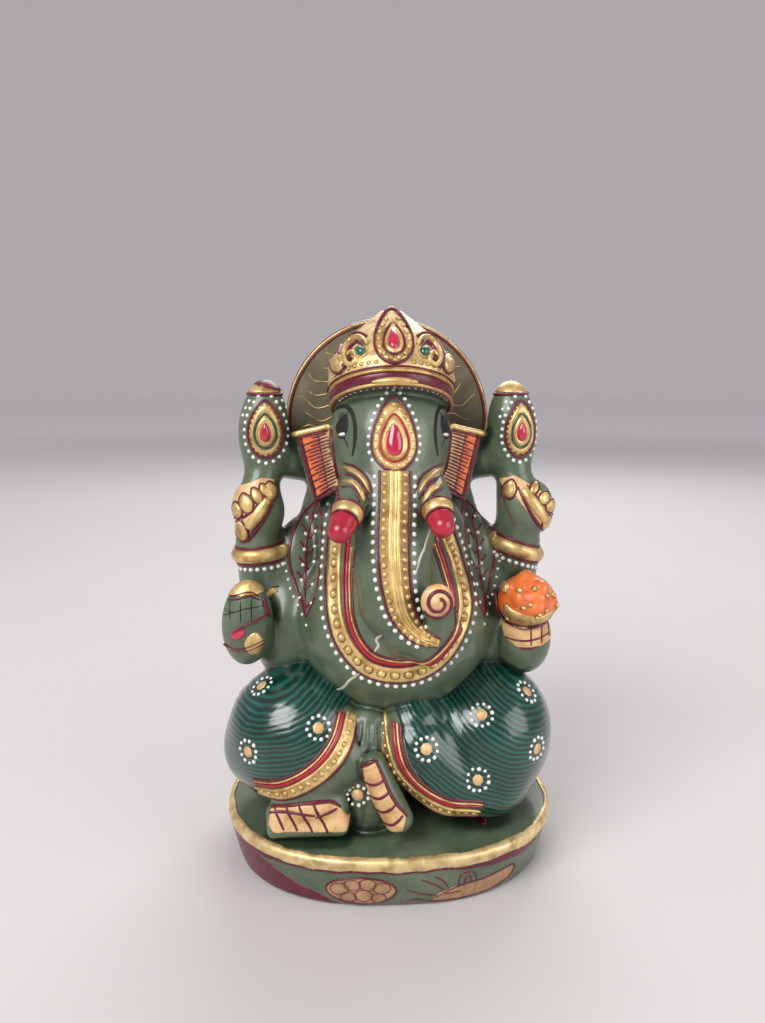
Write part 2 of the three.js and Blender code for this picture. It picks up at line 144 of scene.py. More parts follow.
def evaluate(forms, lo, hi, voxel):
    """The distance to all the forms on a grid."""
    lo = np.array(lo, float)
    n = np.ceil((np.array(hi, float) - lo) / voxel).astype(int) + 1
    axes = [(lo[i] + voxel * np.arange(n[i])).astype(np.float32) for i in range(3)]
    field = np.full(n, FAR, np.float32)
    for f, low, high, k, sign in forms:
        pad = k + MARGIN
        cuts = []
        for i in range(3):
            a = int(np.searchsorted(axes[i], low[i] - pad))
            b = int(np.searchsorted(axes[i], high[i] + pad))
            cuts.append(slice(a, b))
        if any(c.stop <= c.start for c in cuts):
            continue
        block = field[tuple(cuts)]
        p = np.meshgrid(*(axes[i][cuts[i]] for i in range(3)), indexing="ij", sparse=True)
        d = f(p)
        if sign > 0:
            h = np.clip(0.5 + 0.5 * (block - d) / k, 0, 1)
            block[...] = block + (d - block) * h - k * h * (1 - h)
        else:
            h = np.clip(0.5 - 0.5 * (block + d) / k, 0, 1)
            block[...] = block + (-d - block) * h + k * h * (1 - h)
    return field, axes


def surface(field, axes, voxel):
    """The zero surface of a field: points in millimetres and quads."""
    grid = openvdb.FloatGrid(background=3 * voxel)
    grid.copyFromArray(np.clip(field, -3 * voxel, 3 * voxel).astype(np.float32))
    points, quads = grid.convertToQuads(isovalue=0.0)
    points = points * voxel + np.array([a[0] for a in axes])
    return points, quads


# ---- The stone ----

PLINTH = dict(half=45.5, front=37.0, back=34.0, y=-4.0, top=14.0, taper=3.2, power=2.3, rim=1.2)


def plinth_share(x, y, scale=1.0):
    """How far out a point lies, as a share of the plinth's outline."""
    reach = np.where(y < 0, PLINTH["front"], PLINTH["back"]) * scale
    half = PLINTH["half"] * scale
    n = PLINTH["power"]
    return (np.abs(x / half) ** n + np.abs(y / reach) ** n) ** (1 / n) + 1e-6


def plinth_field(p):
    x, y, z = p
    y = y - PLINTH["y"]
    top, rim = PLINTH["top"], PLINTH["rim"]
    below = np.clip((top - (z + 0 * x)) / top, 0, 1)
    r = plinth_share(x, y, 1 - PLINTH["taper"] / PLINTH["half"] * below**1.3)
    side = (r - 1) * np.sqrt(x * x + y * y) / r
    return rounded([side + rim, np.abs(z - top / 2) - top / 2 + rim], rim)


def plinth_form():
    return (plinth_field, [-46, -42, 0], [46, 31, 14], 0.6, 1)


HALO = dict(x=0.3, y=10.9, z=119.0, r=29.0, half=2.1, edge=1.2)


def halo_field(p):
    x, y, z = p
    edge = HALO["edge"]
    ring = np.sqrt((x - HALO["x"]) ** 2 + (z - HALO["z"]) ** 2) - HALO["r"] + edge
    return rounded([ring, np.abs(y - HALO["y"]) - HALO["half"] + edge], edge)


CROWN = dict(x=0.3, y=-7.5, rim=123.3, lean=22.0)
CROWN_Z = [112, 118, 124, 131, 134.5, 137, 139.5, 142.6, 146.2, 148.0, 148.9]
CROWN_R = [13.0, 14.9, 15.6, 15.8, 15.6, 14.2, 12.0, 8.9, 4.4, 1.9, 0.0]


def crown_field(p, grow=0.0):
    x, y, z = p
    rho = np.sqrt((x - CROWN["x"]) ** 2 + (y - CROWN["y"]) ** 2)
    z = z + 0 * rho
    r = np.interp(z, CROWN_Z, CROWN_R)
    slope = np.gradient(np.interp(np.arange(110, 152, 0.5), CROWN_Z, CROWN_R), 0.5)
    steep = np.interp(z, np.arange(110, 152, 0.5), slope)
    side = (rho - r) / np.sqrt(1 + steep**2)
    top = z - CROWN_Z[-1]
    return (np.maximum(side, top) - grow).astype(np.float32)


def rim_height(p):
    """Height above the crown's tilted rim, square to it."""
    t = math.radians(CROWN["lean"])
    return (p[2] - CROWN["rim"]) * math.cos(t) + (p[1] - CROWN["y"]) * math.sin(t)


def crown_core(p):
    return np.maximum(crown_field(p), -rim_height(p))


def ear_field(side):
    """A flat flap with straight edges, swept back at its outer edge."""
    corners = [(12.0, 120.4), (25.4, 117.4), (20.8, 98.2), (12.0, 101.8)]
    m = turn(0, 0, side * 14)

    def f(p):
        x, y, z = local(p, (side * 14, -6.6, 0), m)
        x = side * x + 14
        edge = None
        for a, b in zip(corners, corners[1:] + corners[:1]):
            ex, ez = b[0] - a[0], b[1] - a[1]
            # the corners run clockwise, so the outside is to the left of every edge
            d = ((z - a[1]) * ex - (x - a[0]) * ez) / math.hypot(ex, ez)
            edge = d if edge is None else np.maximum(edge, d)
        return rounded([edge + 0.9, np.abs(y) - 1.9 + 0.9], 0.9)

    return (f, [min(side * 10, side * 27), -14, 98], [max(side * 10, side * 27), 0, 122], 1.2, 1)


TORSO = [
    egg((0.5, 4, 80), (26.6, 11, 42), k=3),
    egg((1.2, -9, 66), (26.0, 23.8, 25.3), k=3),
    egg((1, -7, 88), (20.2, 16.6, 18), k=4),
]
BOLSTER = [(-34.5, 5, 33, 11), (-12, 7, 33, 13), (12, 7, 33, 13), (35.5, 5, 33, 11)]
LEGS = {
    -1: together([
        egg((-24.5, -13.5, 38), (19.6, 18.8, 17.3), (0, -14, 0)),
        arm([(-35, -12, 31, 10.2), (-24, -22, 29, 10.2), (-14, -24, 34, 9.3)], 4),
    ]),
    1: together([
        egg((25.8, -13.5, 37.5), (17.8, 19.3, 17.4), (0, 12, 0)),
        arm([(33, -11, 30, 10.8), (25, -21, 27, 11.7), (15, -24.5, 28, 10.2), (6.2, -24.5, 37, 10.0),
             (5.6, -22.5, 41.4, 9.0)], 4),
    ]),
}
PLEATS = dict(at=(-6.2, -21.5, 28.4), r=(10.2, 9.5, 19.2))
TUSK_LINE = {
    -1: [(-7.5, -19, 106.5, 5.0), (-10.2, -28, 102.6, 4.3), (-13.4, -36.4, 96.4, 2.5)],
    1: [(8, -19, 106.5, 5.0), (9.4, -28, 103, 4.3), (10.6, -36.4, 97.4, 2.5)],
}
TUSKS = {side: arm(line, 1.0) for side, line in TUSK_LINE.items()}


def stone_forms():
    """Every form of the one carved block."""
    forms = [
        plinth_form(),
        (halo_field, [-30, 8, 89], [30, 13.5, 149], 1.0, 1),
        (crown_core, [-17, -25, 120], [17, 10, 150], 0.8, 1),
        # head: forehead, cheeks, brow
        egg((0, -8, 115.5), (16.0, 16.3, 17.8), k=1.5),
        arm([(0, -12, 114, 13.2), (0, -17, 106, 11.6), (0, -22, 97, 10.4), (-0.5, -27, 86, 9.7),
             (0, -30, 77, 8.5)], k=4),
        # curled end of the trunk
        arm([(0, -30, 77, 8.4), (3, -32.5, 70.5, 6.4), (7.6, -34.5, 68, 5), (11.0, -37, 73, 4.1),
             (9, -39.6, 80, 3.4)], k=1.5),
        # back, belly, chest, and the bolster they sit on
        *TORSO,
        arm(BOLSTER, k=2),
    ]
    for s in (-1, 1):
        forms += [
            arm([(s * 17, 6, 108, 6.3), (s * 27, 2, 110, 6.2), (s * 33, -1, 112, 5.2)], k=3),
            egg((s * 33.8, -2, 117.6), (6.7, 6.5, 12.6), (0, s * -4, 0), k=3),
            arm([(s * 31, 0, 60, 8.3), (s * 34, -2, 74, 7.4), (s * 36, -4, 87, 6.0), (s * 34.5, -4, 104, 5.0),
                 (s * 32, -1, 112, 4.8)], k=2.5),
            egg((s * 25.5, 0, 76), (6.2, 7.8, 16.8), k=4),
            egg((s * 28, -5, 61), (8.3, 9.8, 15.8), k=4),
            ear_field(s),
        ]
    forms += [
        # fists, blessing hand, sweet and the hand under it
        egg((-35.2, -6, 96.8), (6.8, 5.6, 8.2), (0, -12, 0), k=1.5),
        egg((37.6, -6, 96.4), (7.2, 5.6, 8.2), (0, 12, 0), k=1.5),
        egg((-38, -16, 68), (6.7, 4.4, 11.4), (0, 4, 0), k=1.5),
        arm([(-31, -5, 62, 7.6), (-37, -13, 63, 5.3)], k=2),
        egg((36, -16.5, 73), (7.3, 7.0, 7.0), k=0.6),
        egg((36, -13.5, 61.5), (7.4, 6.8, 9.4), k=1.2),
        arm([(30, -4, 60, 7.8), (35, -11, 60, 6.3)], k=2),
        # block under the seat bolster
        brick((0, 3.5, 20), (35, 11, 9), edge=4, k=4),
        LEGS[-1],
        LEGS[1],
        # pleats between the legs, and the feet
        egg(PLEATS["at"], PLEATS["r"], k=0.8),
        brick((-22.2, -27.4, 18.9), (10.6, 5.4, 4.3), (-16, -3, -4), 2.2, k=0.8),
        egg((-21, -26.5, 23.5), (10.5, 7.2, 4.8), (0, -4, 0), k=1.5),
        arm([(-5.4, -31, 35, 3.5), (-2.4, -32.8, 28, 3.7), (0.9, -33.6, 21.5, 3.6)], k=0.8),
        TUSKS[-1],
        TUSKS[1],
    ]
    (x0, y0, z0), (rx, ry, rz) = PLEATS["at"], PLEATS["r"]
    for x, lean in ((-8.6, -0.16), (-6.2, -0.06), (-3.9, 0.04)):
        groove = []
        for z in np.linspace(17, 44, 8):
            across = x + lean * (44 - z)
            bulge = max(0.05, 1 - ((z - z0) / rz) ** 2 - ((across - x0) / rx) ** 2)
            groove.append((across, y0 - ry * math.sqrt(bulge) - 0.1, z, 0.55))
        forms.append(arm(groove, 0.7, -1))
    return forms


STONE = stone_forms()
VOXEL = 0.5
LOW, HIGH = (-49, -46, -1.5), (49, 33, 151.5)


def mesh_object(name, points, faces, material, smooth=True):
    """A Blender object from points in millimetres."""
    mesh = bpy.data.meshes.new(name)
    points = np.asarray(points, np.float32) * MM
    mesh.from_pydata(points.tolist(), [], [list(f) for f in faces])
    mesh.validate()
    if smooth:
        mesh.shade_smooth()
    if material:
        mesh.materials.append(material)
    obj = bpy.data.objects.new(name, mesh)
    bpy.context.scene.collection.objects.link(obj)
    return obj


# ---- Finishes ----


class Finish:
    """A node material built round one Principled shader."""

    def __init__(self, name):
        self.m = bpy.data.materials.new(name)
        self.m.use_nodes = True
        self.t = self.m.node_tree
        self.bsdf = self.t.nodes["Principled BSDF"]
        self.coords = self.t.nodes.new("ShaderNodeTexCoord").outputs["Object"]

    def node(self, kind, **values):
        n = self.t.nodes.new("ShaderNode" + kind)
        for key, v in values.items():
            if key in n.inputs:
                n.inputs[key].default_value = v
            else:
                setattr(n, key, v)
        return n

    def link(self, a, b):
        self.t.links.new(a, b)

    def set(self, **values):
        for key, v in values.items():
            self.bsdf.inputs[key.replace("_", " ")].default_value = v

    def noise(self, scale, detail=4.0, rough=0.55, distort=0.0):
        n = self.node("TexNoise", Scale=scale, Detail=detail, Roughness=rough, Distortion=distort)
        self.link(self.coords, n.inputs["Vector"])
        return n.outputs["Fac"]

    def ramp(self, fac, stops):
        n = self.node("ValToRGB")
        e = n.color_ramp.elements
        while len(e) < len(stops):
            e.new(0.5)
        for spot, (at, colour) in zip(e, stops):
            spot.position = at
            spot.color = (*colour, 1)
        self.link(fac, n.inputs["Fac"])
        return n.outputs["Color"]

    def math(self, operation, *values):
        n = self.node("Math", operation=operation)
        for socket, v in zip(n.inputs, values):
            if isinstance(v, bpy.types.NodeSocket):
                self.link(v, socket)
            else:
                socket.default_value = v
        return n.outputs[0]

    def mix(self, fac, a, b, mode="MIX"):
        n = self.node("Mix", data_type="RGBA", blend_type=mode)
        for socket, v in ((n.inputs[0], fac), (n.inputs[6], a), (n.inputs[7], b)):
            if isinstance(v, bpy.types.NodeSocket):
                self.link(v, socket)
            else:
                socket.default_value = v if isinstance(v, float) else (*v, 1)
        return n.outputs[2]

    def shape(self, name):
        """A value stored on the mesh's points."""
        return self.node("Attribute", attribute_name=name).outputs["Fac"]

    def level(self, fac, low, high, start=0.0, end=1.0):
        """A value spread from start..end to low..high."""
        n = self.node("MapRange")
        for key, v in (("From Min", start), ("From Max", end), ("To Min", low), ("To Max", high)):
            n.inputs[key].default_value = v
        self.link(fac, n.inputs["Value"])
        return n.outputs["Result"]

    def bump(self, height, strength, distance=0.0004):
        n = self.node("Bump", Strength=strength, Distance=distance)
        self.link(height, n.inputs["Height"])
        self.link(n.outputs["Normal"], self.bsdf.inputs["Normal"])

    def colour(self, socket):
        self.link(socket, self.bsdf.inputs["Base Color"])

    def rough(self, socket):
        self.link(socket, self.bsdf.inputs["Roughness"])


def stone_finish():
    """Dusty green stone: clouded, with painted shade darker where it is cut in, browner and clearer in the
    thin halo.
    """
    f = Finish("green_stone")
    cloud = f.noise(70, 6, 0.62, 0.6)
    base = f.ramp(cloud, [(0.3, (0.062, 0.094, 0.054)), (0.5, (0.095, 0.133, 0.078)),
                          (0.7, (0.15, 0.188, 0.115))])
    brown = f.ramp(cloud, [(0.3, (0.13, 0.095, 0.05)), (0.5, (0.19, 0.145, 0.085)),
                           (0.7, (0.27, 0.215, 0.14))])
    place = f.node("SeparateXYZ")
    f.link(f.coords, place.inputs[0])
    deep = f.level(place.outputs["Y"], 0.0, 1.0, 0.0072, 0.0092)
    tall = f.level(place.outputs["Z"], 0.0, 1.0, 0.108, 0.122)
    tone = f.mix(f.math("MULTIPLY", deep, tall), base, brown)
    # painted shade: the stone is darker and greener in its creases, read from the cavity value
    painted_crease_shade = f.ramp(f.shape("cavity"), [(0.25, (0.3, 0.36, 0.32)), (0.8, (1, 1, 1))])
    tone = f.mix(1.0, tone, painted_crease_shade, "MULTIPLY")
    speck = f.ramp(f.noise(900, 3), [(0.35, (0.82, 0.82, 0.82)), (0.6, (1, 1, 1)), (0.75, (1.2, 1.2, 1.15))])
    f.colour(f.mix(0.5, tone, speck, "MULTIPLY"))
    f.rough(f.level(f.noise(160, 5), 0.22, 0.46))
    f.bump(f.noise(420, 4), 0.14)
    f.set(Coat_Weight=0.28, Coat_Roughness=0.1, Subsurface_Weight=0.12, Subsurface_Scale=0.004)
    f.bsdf.inputs["Subsurface Radius"].default_value = (0.6, 1.0, 0.6)
    return f.m


COMB_GAP = 1.3 * MM


def garment(name, x, z):
    """Green enamel combed in arcs round a centre, in millimetres in the front view."""
    f = Finish(name)
    flat = f.node("VectorMath", operation="MULTIPLY")
    f.link(f.coords, flat.inputs[0])
    flat.inputs[1].default_value = (1, 0, 1)
    gap = f.node("VectorMath", operation="DISTANCE")
    f.link(flat.outputs[0], gap.inputs[0])
    gap.inputs[1].default_value = (x * MM, 0, z * MM)
    wander = f.level(f.noise(45, 3), -0.0022, 0.0022)
    run = f.math("ADD", gap.outputs["Value"], wander)
    wave = f.math("SINE", f.math("MULTIPLY", run, 2 * math.pi / COMB_GAP))
    comb = f.level(wave, 0.0, 1.0, -1.0, 1.0)
    stripes = f.ramp(comb, [(0.2, (0.0, 0.026, 0.018)), (0.6, (0.001, 0.054, 0.037)),
                            (0.9, (0.008, 0.1, 0.072))])
    blotch = f.ramp(f.noise(110, 4), [(0.35, (0.55, 0.55, 0.55)), (0.7, (1.15, 1.15, 1.15))])
    f.colour(f.mix(1.0, stripes, blotch, "MULTIPLY"))
    f.rough(f.level(f.noise(240, 4), 0.12, 0.3))
    f.bump(comb, 0.25, 0.00025)
    f.set(Coat_Weight=0.6, Coat_Roughness=0.07)
    return f.m


def gold_finish(name, base, pale, rough, metal):
    f = Finish(name)
    bright = tuple(min(1, c * 1.15) for c in pale)
    f.colour(f.ramp(f.noise(260, 5, 0.6, 0.4), [(0.32, base), (0.56, pale), (0.72, bright)]))
    f.rough(f.level(f.noise(500, 4), rough - 0.1, rough + 0.14))
    f.bump(f.noise(750, 4, 0.6), 0.3, 0.0003)
    f.set(Metallic=metal, Coat_Weight=0.25, Coat_Roughness=0.2)
    return f.m


def lacquer(name, deep, pale, rough=0.3, coat=0.7):
    f = Finish(name)
    f.colour(f.ramp(f.noise(320, 4, 0.6), [(0.35, deep), (0.68, pale)]))
    f.rough(f.level(f.noise(600, 3), rough - 0.08, rough + 0.1))
    f.bump(f.noise(380, 3), 0.12)
    f.set(Coat_Weight=coat, Coat_Roughness=0.12)
    return f.m


def gem(name, deep, pale):
    f = Finish(name)
    f.colour(f.ramp(f.noise(240, 3), [(0.35, deep), (0.65, pale)]))
    f.rough(f.level(f.noise(300, 2), 0.06, 0.14))
    f.set(Coat_Weight=1.0, Coat_Roughness=0.03)
    return f.m


FINISH = dict(
    stone=stone_finish(),
    gold=gold_finish("raised_gilding", (0.4, 0.235, 0.06), (0.76, 0.53, 0.22), 0.38, 0.66),
    flat_gold=gold_finish("flat_gilding", (0.44, 0.29, 0.1), (0.8, 0.6, 0.29), 0.4, 0.55),
    # dark gold for the rings round gilt beads: painted shadow and antique darkening
    antique_and_shadow_gold=gold_finish("antique_and_shadow_gilding", (0.16, 0.085, 0.02), (0.3, 0.18, 0.05), 0.5, 0.4),
    shaded_tan=gold_finish("tan_paint_with_painted_shade", (0.29, 0.15, 0.065), (0.45, 0.26, 0.125), 0.55, 0.05),
    peach=gold_finish("peach_gilding", (0.52, 0.28, 0.1), (0.74, 0.47, 0.22), 0.48, 0.2),
    maroon=lacquer("maroon_lacquer_coat", (0.08, 0.0, 0.012), (0.165, 0.003, 0.028), 0.36, 0.2),
    crimson=lacquer("crimson_lacquer_coat", (0.3, 0.002, 0.016), (0.47, 0.006, 0.03), 0.3, 0.45),
    orange=lacquer("orange_lacquer_coat", (0.66, 0.1, 0.012), (0.86, 0.22, 0.04), 0.35),
    left_garment=garment("left_leg_enamel", -40, 80),
    right_garment=garment("right_leg_enamel", 45, 75),
    cream=lacquer("cream_veins", (0.5, 0.48, 0.36), (0.66, 0.64, 0.52), 0.4, 0.2),
    green=lacquer("green_enamel_coat", (0.0, 0.05, 0.035), (0.0, 0.09, 0.06), 0.2, 1.0),
    white=lacquer("white_enamel_dots", (0.74, 0.72, 0.68), (0.86, 0.85, 0.82), 0.35, 0.3),
    black=lacquer("black_brush_paint", (0.002, 0.002, 0.002), (0.008, 0.007, 0.006), 0.7, 0.0),
    ruby=gem("ruby_glass", (0.4, 0.003, 0.035), (0.6, 0.012, 0.07)),
    emerald=gem("emerald_glass", (0.0, 0.055, 0.035), (0.0, 0.13, 0.08)),
)


# ---- Surfaces and what is laid on them ----


class Skin:
    """A surface, kept as its distance field, that ornaments are laid on."""

    def __init__(self, field, axes, voxel):
        self.f, self.h = field, voxel
        self.lo = np.array([a[0] for a in axes])
        self.top = np.array(field.shape) - 1.001

    def at(self, p):
        q = np.clip((p - self.lo) / self.h, 0, self.top)
        i = q.astype(int)
        u = q - i
        total = 0.0
        for corner in itertools.product((0, 1), repeat=3):
            x, y, z = (u[..., k] if c else 1 - u[..., k] for k, c in enumerate(corner))
            total = total + x * y * z * self.f[tuple(i[..., k] + c for k, c in enumerate(corner))]
        return total

    def normal(self, p, reach=0.7):
        e = np.eye(3) * reach
        n = np.stack([self.at(p + e[i]) - self.at(p - e[i]) for i in range(3)], -1)
        return n / (np.linalg.norm(n, axis=-1, keepdims=True) + 1e-9)

    def settle(self, p, height=0.0):
        """Points moved to the nearest surface, then raised; also their normals."""
        p = np.array(p, float)
        for _ in range(4):
            p = p - self.normal(p, 0.4) * np.clip(self.at(p), -1, 1)[..., None]
        n = self.normal(p)
        return p + n * np.asarray(height)[..., None], n

    def front(self, xz, start=-47.0):
        """Where lines straight back from the front first meet the surface."""
        xz = np.atleast_2d(np.array(xz, float))
        y = np.full(len(xz), float(start))
        done = np.zeros(len(xz), bool)
        for _ in range(160):
            d = self.at(xyz(xz[:, 0], y, xz[:, 1]))
            done |= d < 0
            y = np.where(done | (y > 12), y, y + np.clip(d * 0.8, 0.2, 0.5))
        return self.settle(xyz(xz[:, 0], y, xz[:, 1]))[0]


def skin_of(forms, lo, hi, voxel):
    """The surface of some forms, for ornaments that lie on those forms alone."""
    return Skin(*evaluate(forms, lo, hi, voxel), voxel)


def xyz(x, y, z):
    """Points from their coordinates, any of which may be one number for them all."""
    return np.stack(np.broadcast_arrays(x, y, z), -1)


def curve(points, step=0.5):
    """A smooth line through points, evenly spaced."""
    p = np.array(points, float)
    q = np.concatenate([2 * p[:1] - p[1:2], p, 2 * p[-1:] - p[-2:-1]])
    out = []
    for a, b, c, d in zip(q, q[1:], q[2:], q[3:]):
        t = np.linspace(0, 1, 13)[:-1, None]
        bend, twist = 2 * a - 5 * b + 4 * c - d, 3 * b - a - 3 * c + d
        out.append(0.5 * (2 * b + (c - a) * t + bend * t**2 + twist * t**3))
    return even(np.concatenate(out + [p[-1:]]), step)


def even(line, step):
    """The same line with its points about a step apart."""
    line = np.asarray(line, float)
    size = np.linalg.norm(np.diff(line, axis=0), axis=1)
    run = np.concatenate([[0], np.cumsum(size)])
    n = max(int(round(run[-1] / step)), 2)
    at = np.linspace(0, run[-1], n + 1)
    return np.stack([np.interp(at, run, line[:, i]) for i in range(line.shape[1])], -1)


def shift(line, by):
    """A flat line moved sideways, to its left."""
    t = np.gradient(line, axis=0)
    t /= np.linalg.norm(t, axis=1, keepdims=True) + 1e-9
    return line + np.stack([-t[:, 1], t[:, 0]], -1) * by


# Lines drawn from the front end where the surface they meet lies further back than this.
FRONT_HALF = 6.0


def unbroken(line, back):
    """The stretches of a line that stay in front of a depth and don't leap from one form to another."""
    steps = np.linalg.norm(np.diff(line, axis=0), axis=1)
    jump = max(1.6, 3 * np.median(steps))
    runs, run = [], [line[0]]
    for step, b in zip(steps, line[1:]):
        if step > jump or b[1] > back:
            runs.append(run)
            run = []
        if b[1] <= back:
            run.append(b)
    runs.append(run)
    return [np.array(r) for r in runs if len(r) > 3]


# A bead's rings: (height, width) as shares of its own height and radius.
BEAD_SIDES = 8
BEAD_ROWS = ((-0.35, 0.95), (0.12, 1.0), (0.55, 0.8), (0.88, 0.42))
# How far the edges of bands and plaques are sunk, and how far a plaque may lie off the depth of its middle.
SUNK = -0.35
PLAQUE_DEPTH = 3.5


class Piece:
    """One shown piece, gathered from many small closed solids."""

    def __init__(self, name, finish, *nodes):
        self.name, self.finish, self.nodes = name, finish, nodes
        self.points, self.faces, self.count = [], [], 0

    def add(self, points, faces):
        points = np.asarray(points, float).reshape(-1, 3)
        self.points.append(points)
        self.faces += [tuple(int(i) + self.count for i in f) for f in faces]
        self.count += len(points)

    def loft(self, rings, closed=False):
        """Rings of points joined into a closed solid."""
        rings = np.asarray(rings)
        n, m = rings.shape[:2]
        faces = []
        for i in range(n if closed else n - 1):
            for j in range(m):
                a, b = i * m + j, i * m + (j + 1) % m
                c, d = (i + 1) % n * m + j, (i + 1) % n * m + (j + 1) % m
                faces.append((a, c, d, b))
        if not closed:
            faces += [tuple(range(m)), tuple(reversed(range((n - 1) * m, n * m)))]
        self.add(rings, faces)

    def dome(self, rings, top):
        """Rings of points, one inside the other, closed below and drawn to a top point."""
        m = len(rings[0])
        base = len(rings) * m
        faces = [(i * m + j, i * m + (j + 1) % m, (i + 1) * m + (j + 1) % m, (i + 1) * m + j)
                 for i in range(len(rings) - 1) for j in range(m)]
        faces += [(base - m + j, base - m + (j + 1) % m, base) for j in range(m)]
        faces.append(tuple(reversed(range(m))))
        self.add(np.concatenate([*rings, [top]]), faces)

    def band(self, skin, line, profile, scale=1.0, closed=False):
        """A strip along a line on a surface: profile holds (across, height), left to right."""
        line = np.asarray(line, float)
        flat = line.shape[1] == 2
        line = skin.front(line) if flat else skin.settle(line)[0]
        runs = unbroken(line, FRONT_HALF if flat else 99.0)
        if len(runs) != 1 or len(runs[0]) != len(line):
            for run in runs:
                self.band(skin, run, profile, scale)
            return
        if closed:
            line = line[:-1]
            t = np.roll(line, -1, 0) - np.roll(line, 1, 0)
        else:
            t = np.gradient(line, axis=0)
        t /= np.linalg.norm(t, axis=1, keepdims=True) + 1e-9
        n = skin.normal(line)
        side = np.cross(n, t)
        side /= np.linalg.norm(side, axis=1, keepdims=True) + 1e-9
        prof = np.array(profile, float)
        s = np.ones(len(line)) * scale if np.isscalar(scale) else np.interp(
            np.linspace(0, 1, len(line)), np.linspace(0, 1, len(scale)), scale)
        over = line[:, None] + side[:, None] * (prof[:, 0] * s[:, None])[..., None]
        tops = skin.settle(over, np.broadcast_to(prof[:, 1], over.shape[:2]))[0]
        feet = skin.settle(over[:, [0, -1]], np.full((len(line), 2), SUNK))[0]
        self.loft(np.concatenate([feet[:, :1], tops, feet[:, 1:]], 1), closed)

    def line(self, skin, line, width=0.7, height=0.22, closed=False, taper=1.0):
        """A brushed line, slightly raised."""
        brush = [(-0.5, 0.3), (-0.3, 0.85), (0, 1), (0.3, 0.85), (0.5, 0.3)]
        n = 1.0 if taper == 1.0 else [taper, 1, 1, 1, taper]
        self.band(skin, line, [(width * x, height * z) for x, z in brush], n, closed)

    def strokes(self, skin, height, paths, taper=0.6, step=0.5):
        """Brushed lines, each given as (width, path)."""
        for width, path in paths:
            self.line(skin, curve(path, step), width, height, taper=taper)

    def rim(self, skin, shape, centre, share, width, height):
        """A brushed line all round a shape, at a share of its size."""
        self.line(skin, loop(scaled(shape, centre, share), 0.4), width, height, closed=True)

    def beads(self, skin, spots, r=0.5, high=0.75, lift=0.0):
        """Round drops of paste at points on a surface."""
        spots = np.atleast_2d(np.asarray(spots, float))
        if spots.shape[1] == 2:
            spots = skin.front(spots)
            spots = spots[spots[:, 1] < FRONT_HALF]
        else:
            spots = skin.settle(spots)[0]
        if not len(spots):
            return
        if self.finish == "gold":
            # a thin dark ring round each gilt drop: painted shadow, with some antique darkening
            shades.beads(skin, spots, np.asarray(r) * 1.32, 0.1, lift + 0.03)
        n = skin.normal(spots)
        u = np.cross(n, [0.31, 0.2, 0.93])
        u /= np.linalg.norm(u, axis=1, keepdims=True) + 1e-9
        v = np.cross(n, u)
        r = np.broadcast_to(np.asarray(r, float), (len(spots),))
        around = np.linspace(0, 2 * math.pi, BEAD_SIDES, endpoint=False)
        for p, a, b, c, k in zip(spots, n, u, v, r):
            rings = [
                [p + a * (lift + k * high * z) + (b * math.cos(q) + c * math.sin(q)) * k * w for q in around]
                for z, w in BEAD_ROWS
            ]
            self.dome(rings, p + a * (lift + k * high))

    def plaque(self, skin, centre, outline, steps):
        """A shape on a surface, domed by steps of (share of the outline, height)."""
        c = np.array(centre, float)
        flat = np.array(outline, float) - c
        middle = skin.front([c])
        rings = []
        for share, height in [(1.0, SUNK), *steps]:
            p = skin.front(c + flat * share)
            p[:, 1] = np.clip(p[:, 1], middle[0, 1] - PLAQUE_DEPTH, middle[0, 1] + PLAQUE_DEPTH)
            rings.append(skin.settle(p, np.full(len(p), height))[0])
        self.dome(rings, skin.settle(middle, np.array([steps[-1][1]]))[0][0])

    def sculpt(self, forms, lo, hi, voxel, keep=None):
        """A solid made from distance forms."""
        field, axes = evaluate(forms, lo, hi, voxel)
        if keep is not None:
            p = np.meshgrid(*axes, indexing="ij", sparse=True)
            field = keep(p, field)
        # closed off at the grid's edges
        field[[0, -1]] = field[:, [0, -1]] = field[:, :, [0, -1]] = MARGIN
        points, quads = surface(field, axes, voxel)
        self.add(points, quads)
        return Skin(field, axes, voxel)

    def coat(self, region, lo, hi, thick=0.35, depth=0.5, voxel=0.35, forms=None):
        """A skin of even thickness over the part of the stone where region(p) is negative."""

        def layer(p, field):
            shell = np.maximum(field - thick, -field - depth)
            return np.maximum(shell, region(p))

        return self.sculpt(forms or STONE, lo, hi, voxel, layer)

    def done(self):
        obj = mesh_object(self.name, np.concatenate(self.points), self.faces, FINISH[self.finish])
        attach(obj, "root")
        if self.nodes:
            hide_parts(*self.nodes)
        return obj


def finish(*pieces):
    for piece in pieces:
        piece.done()


def pair(name):
    """The CAD nodes of a part that is there on both sides."""
    return name + "_left", name + "_right"


def cord_profile(half, high):
    """A round-topped band profile."""
    return [(half * math.sin(q), high * math.cos(q)) for q in np.linspace(-1.5, 1.5, 9)]


def mirrored(*steps):
    """A band's profile from its left half: (distance from the middle, height), from the edge inwards."""
    return [(-x, z) for x, z in steps] + [(x, z) for x, z in reversed(steps)]


def drop(x, z, half, up, down, tilt=0.0, n=28):
    """A drop outline with its point upwards."""
    a = np.linspace(0, 2 * math.pi, n, endpoint=False)
    w = half * np.sin(a) * np.where(np.cos(a) > 0, 1 - 0.35 * np.cos(a) ** 2, 1)
    h = np.where(np.cos(a) > 0, up, down) * np.cos(a)
    t = math.radians(tilt)
    return np.stack([x + w * math.cos(t) - h * math.sin(t), z + w * math.sin(t) + h * math.cos(t)], -1)


def loop(outline, step=0.5):
    """A closed outline as an evenly spaced line that ends where it starts."""
    return even(np.concatenate([outline, outline[:1]]), step)


def scaled(outline, centre, share):
    """An outline grown or shrunk about a centre."""
    c = np.array(centre, float)
    return c + (np.asarray(outline) - c) * share


def disc(x, z, r, n=14, rz=None):
    """A round outline, or an oval one where rz gives its half height."""
    a = np.linspace(0, 2 * math.pi, n, endpoint=False)
    return np.stack([x + r * np.sin(a), z + (rz or r) * np.cos(a)], -1)


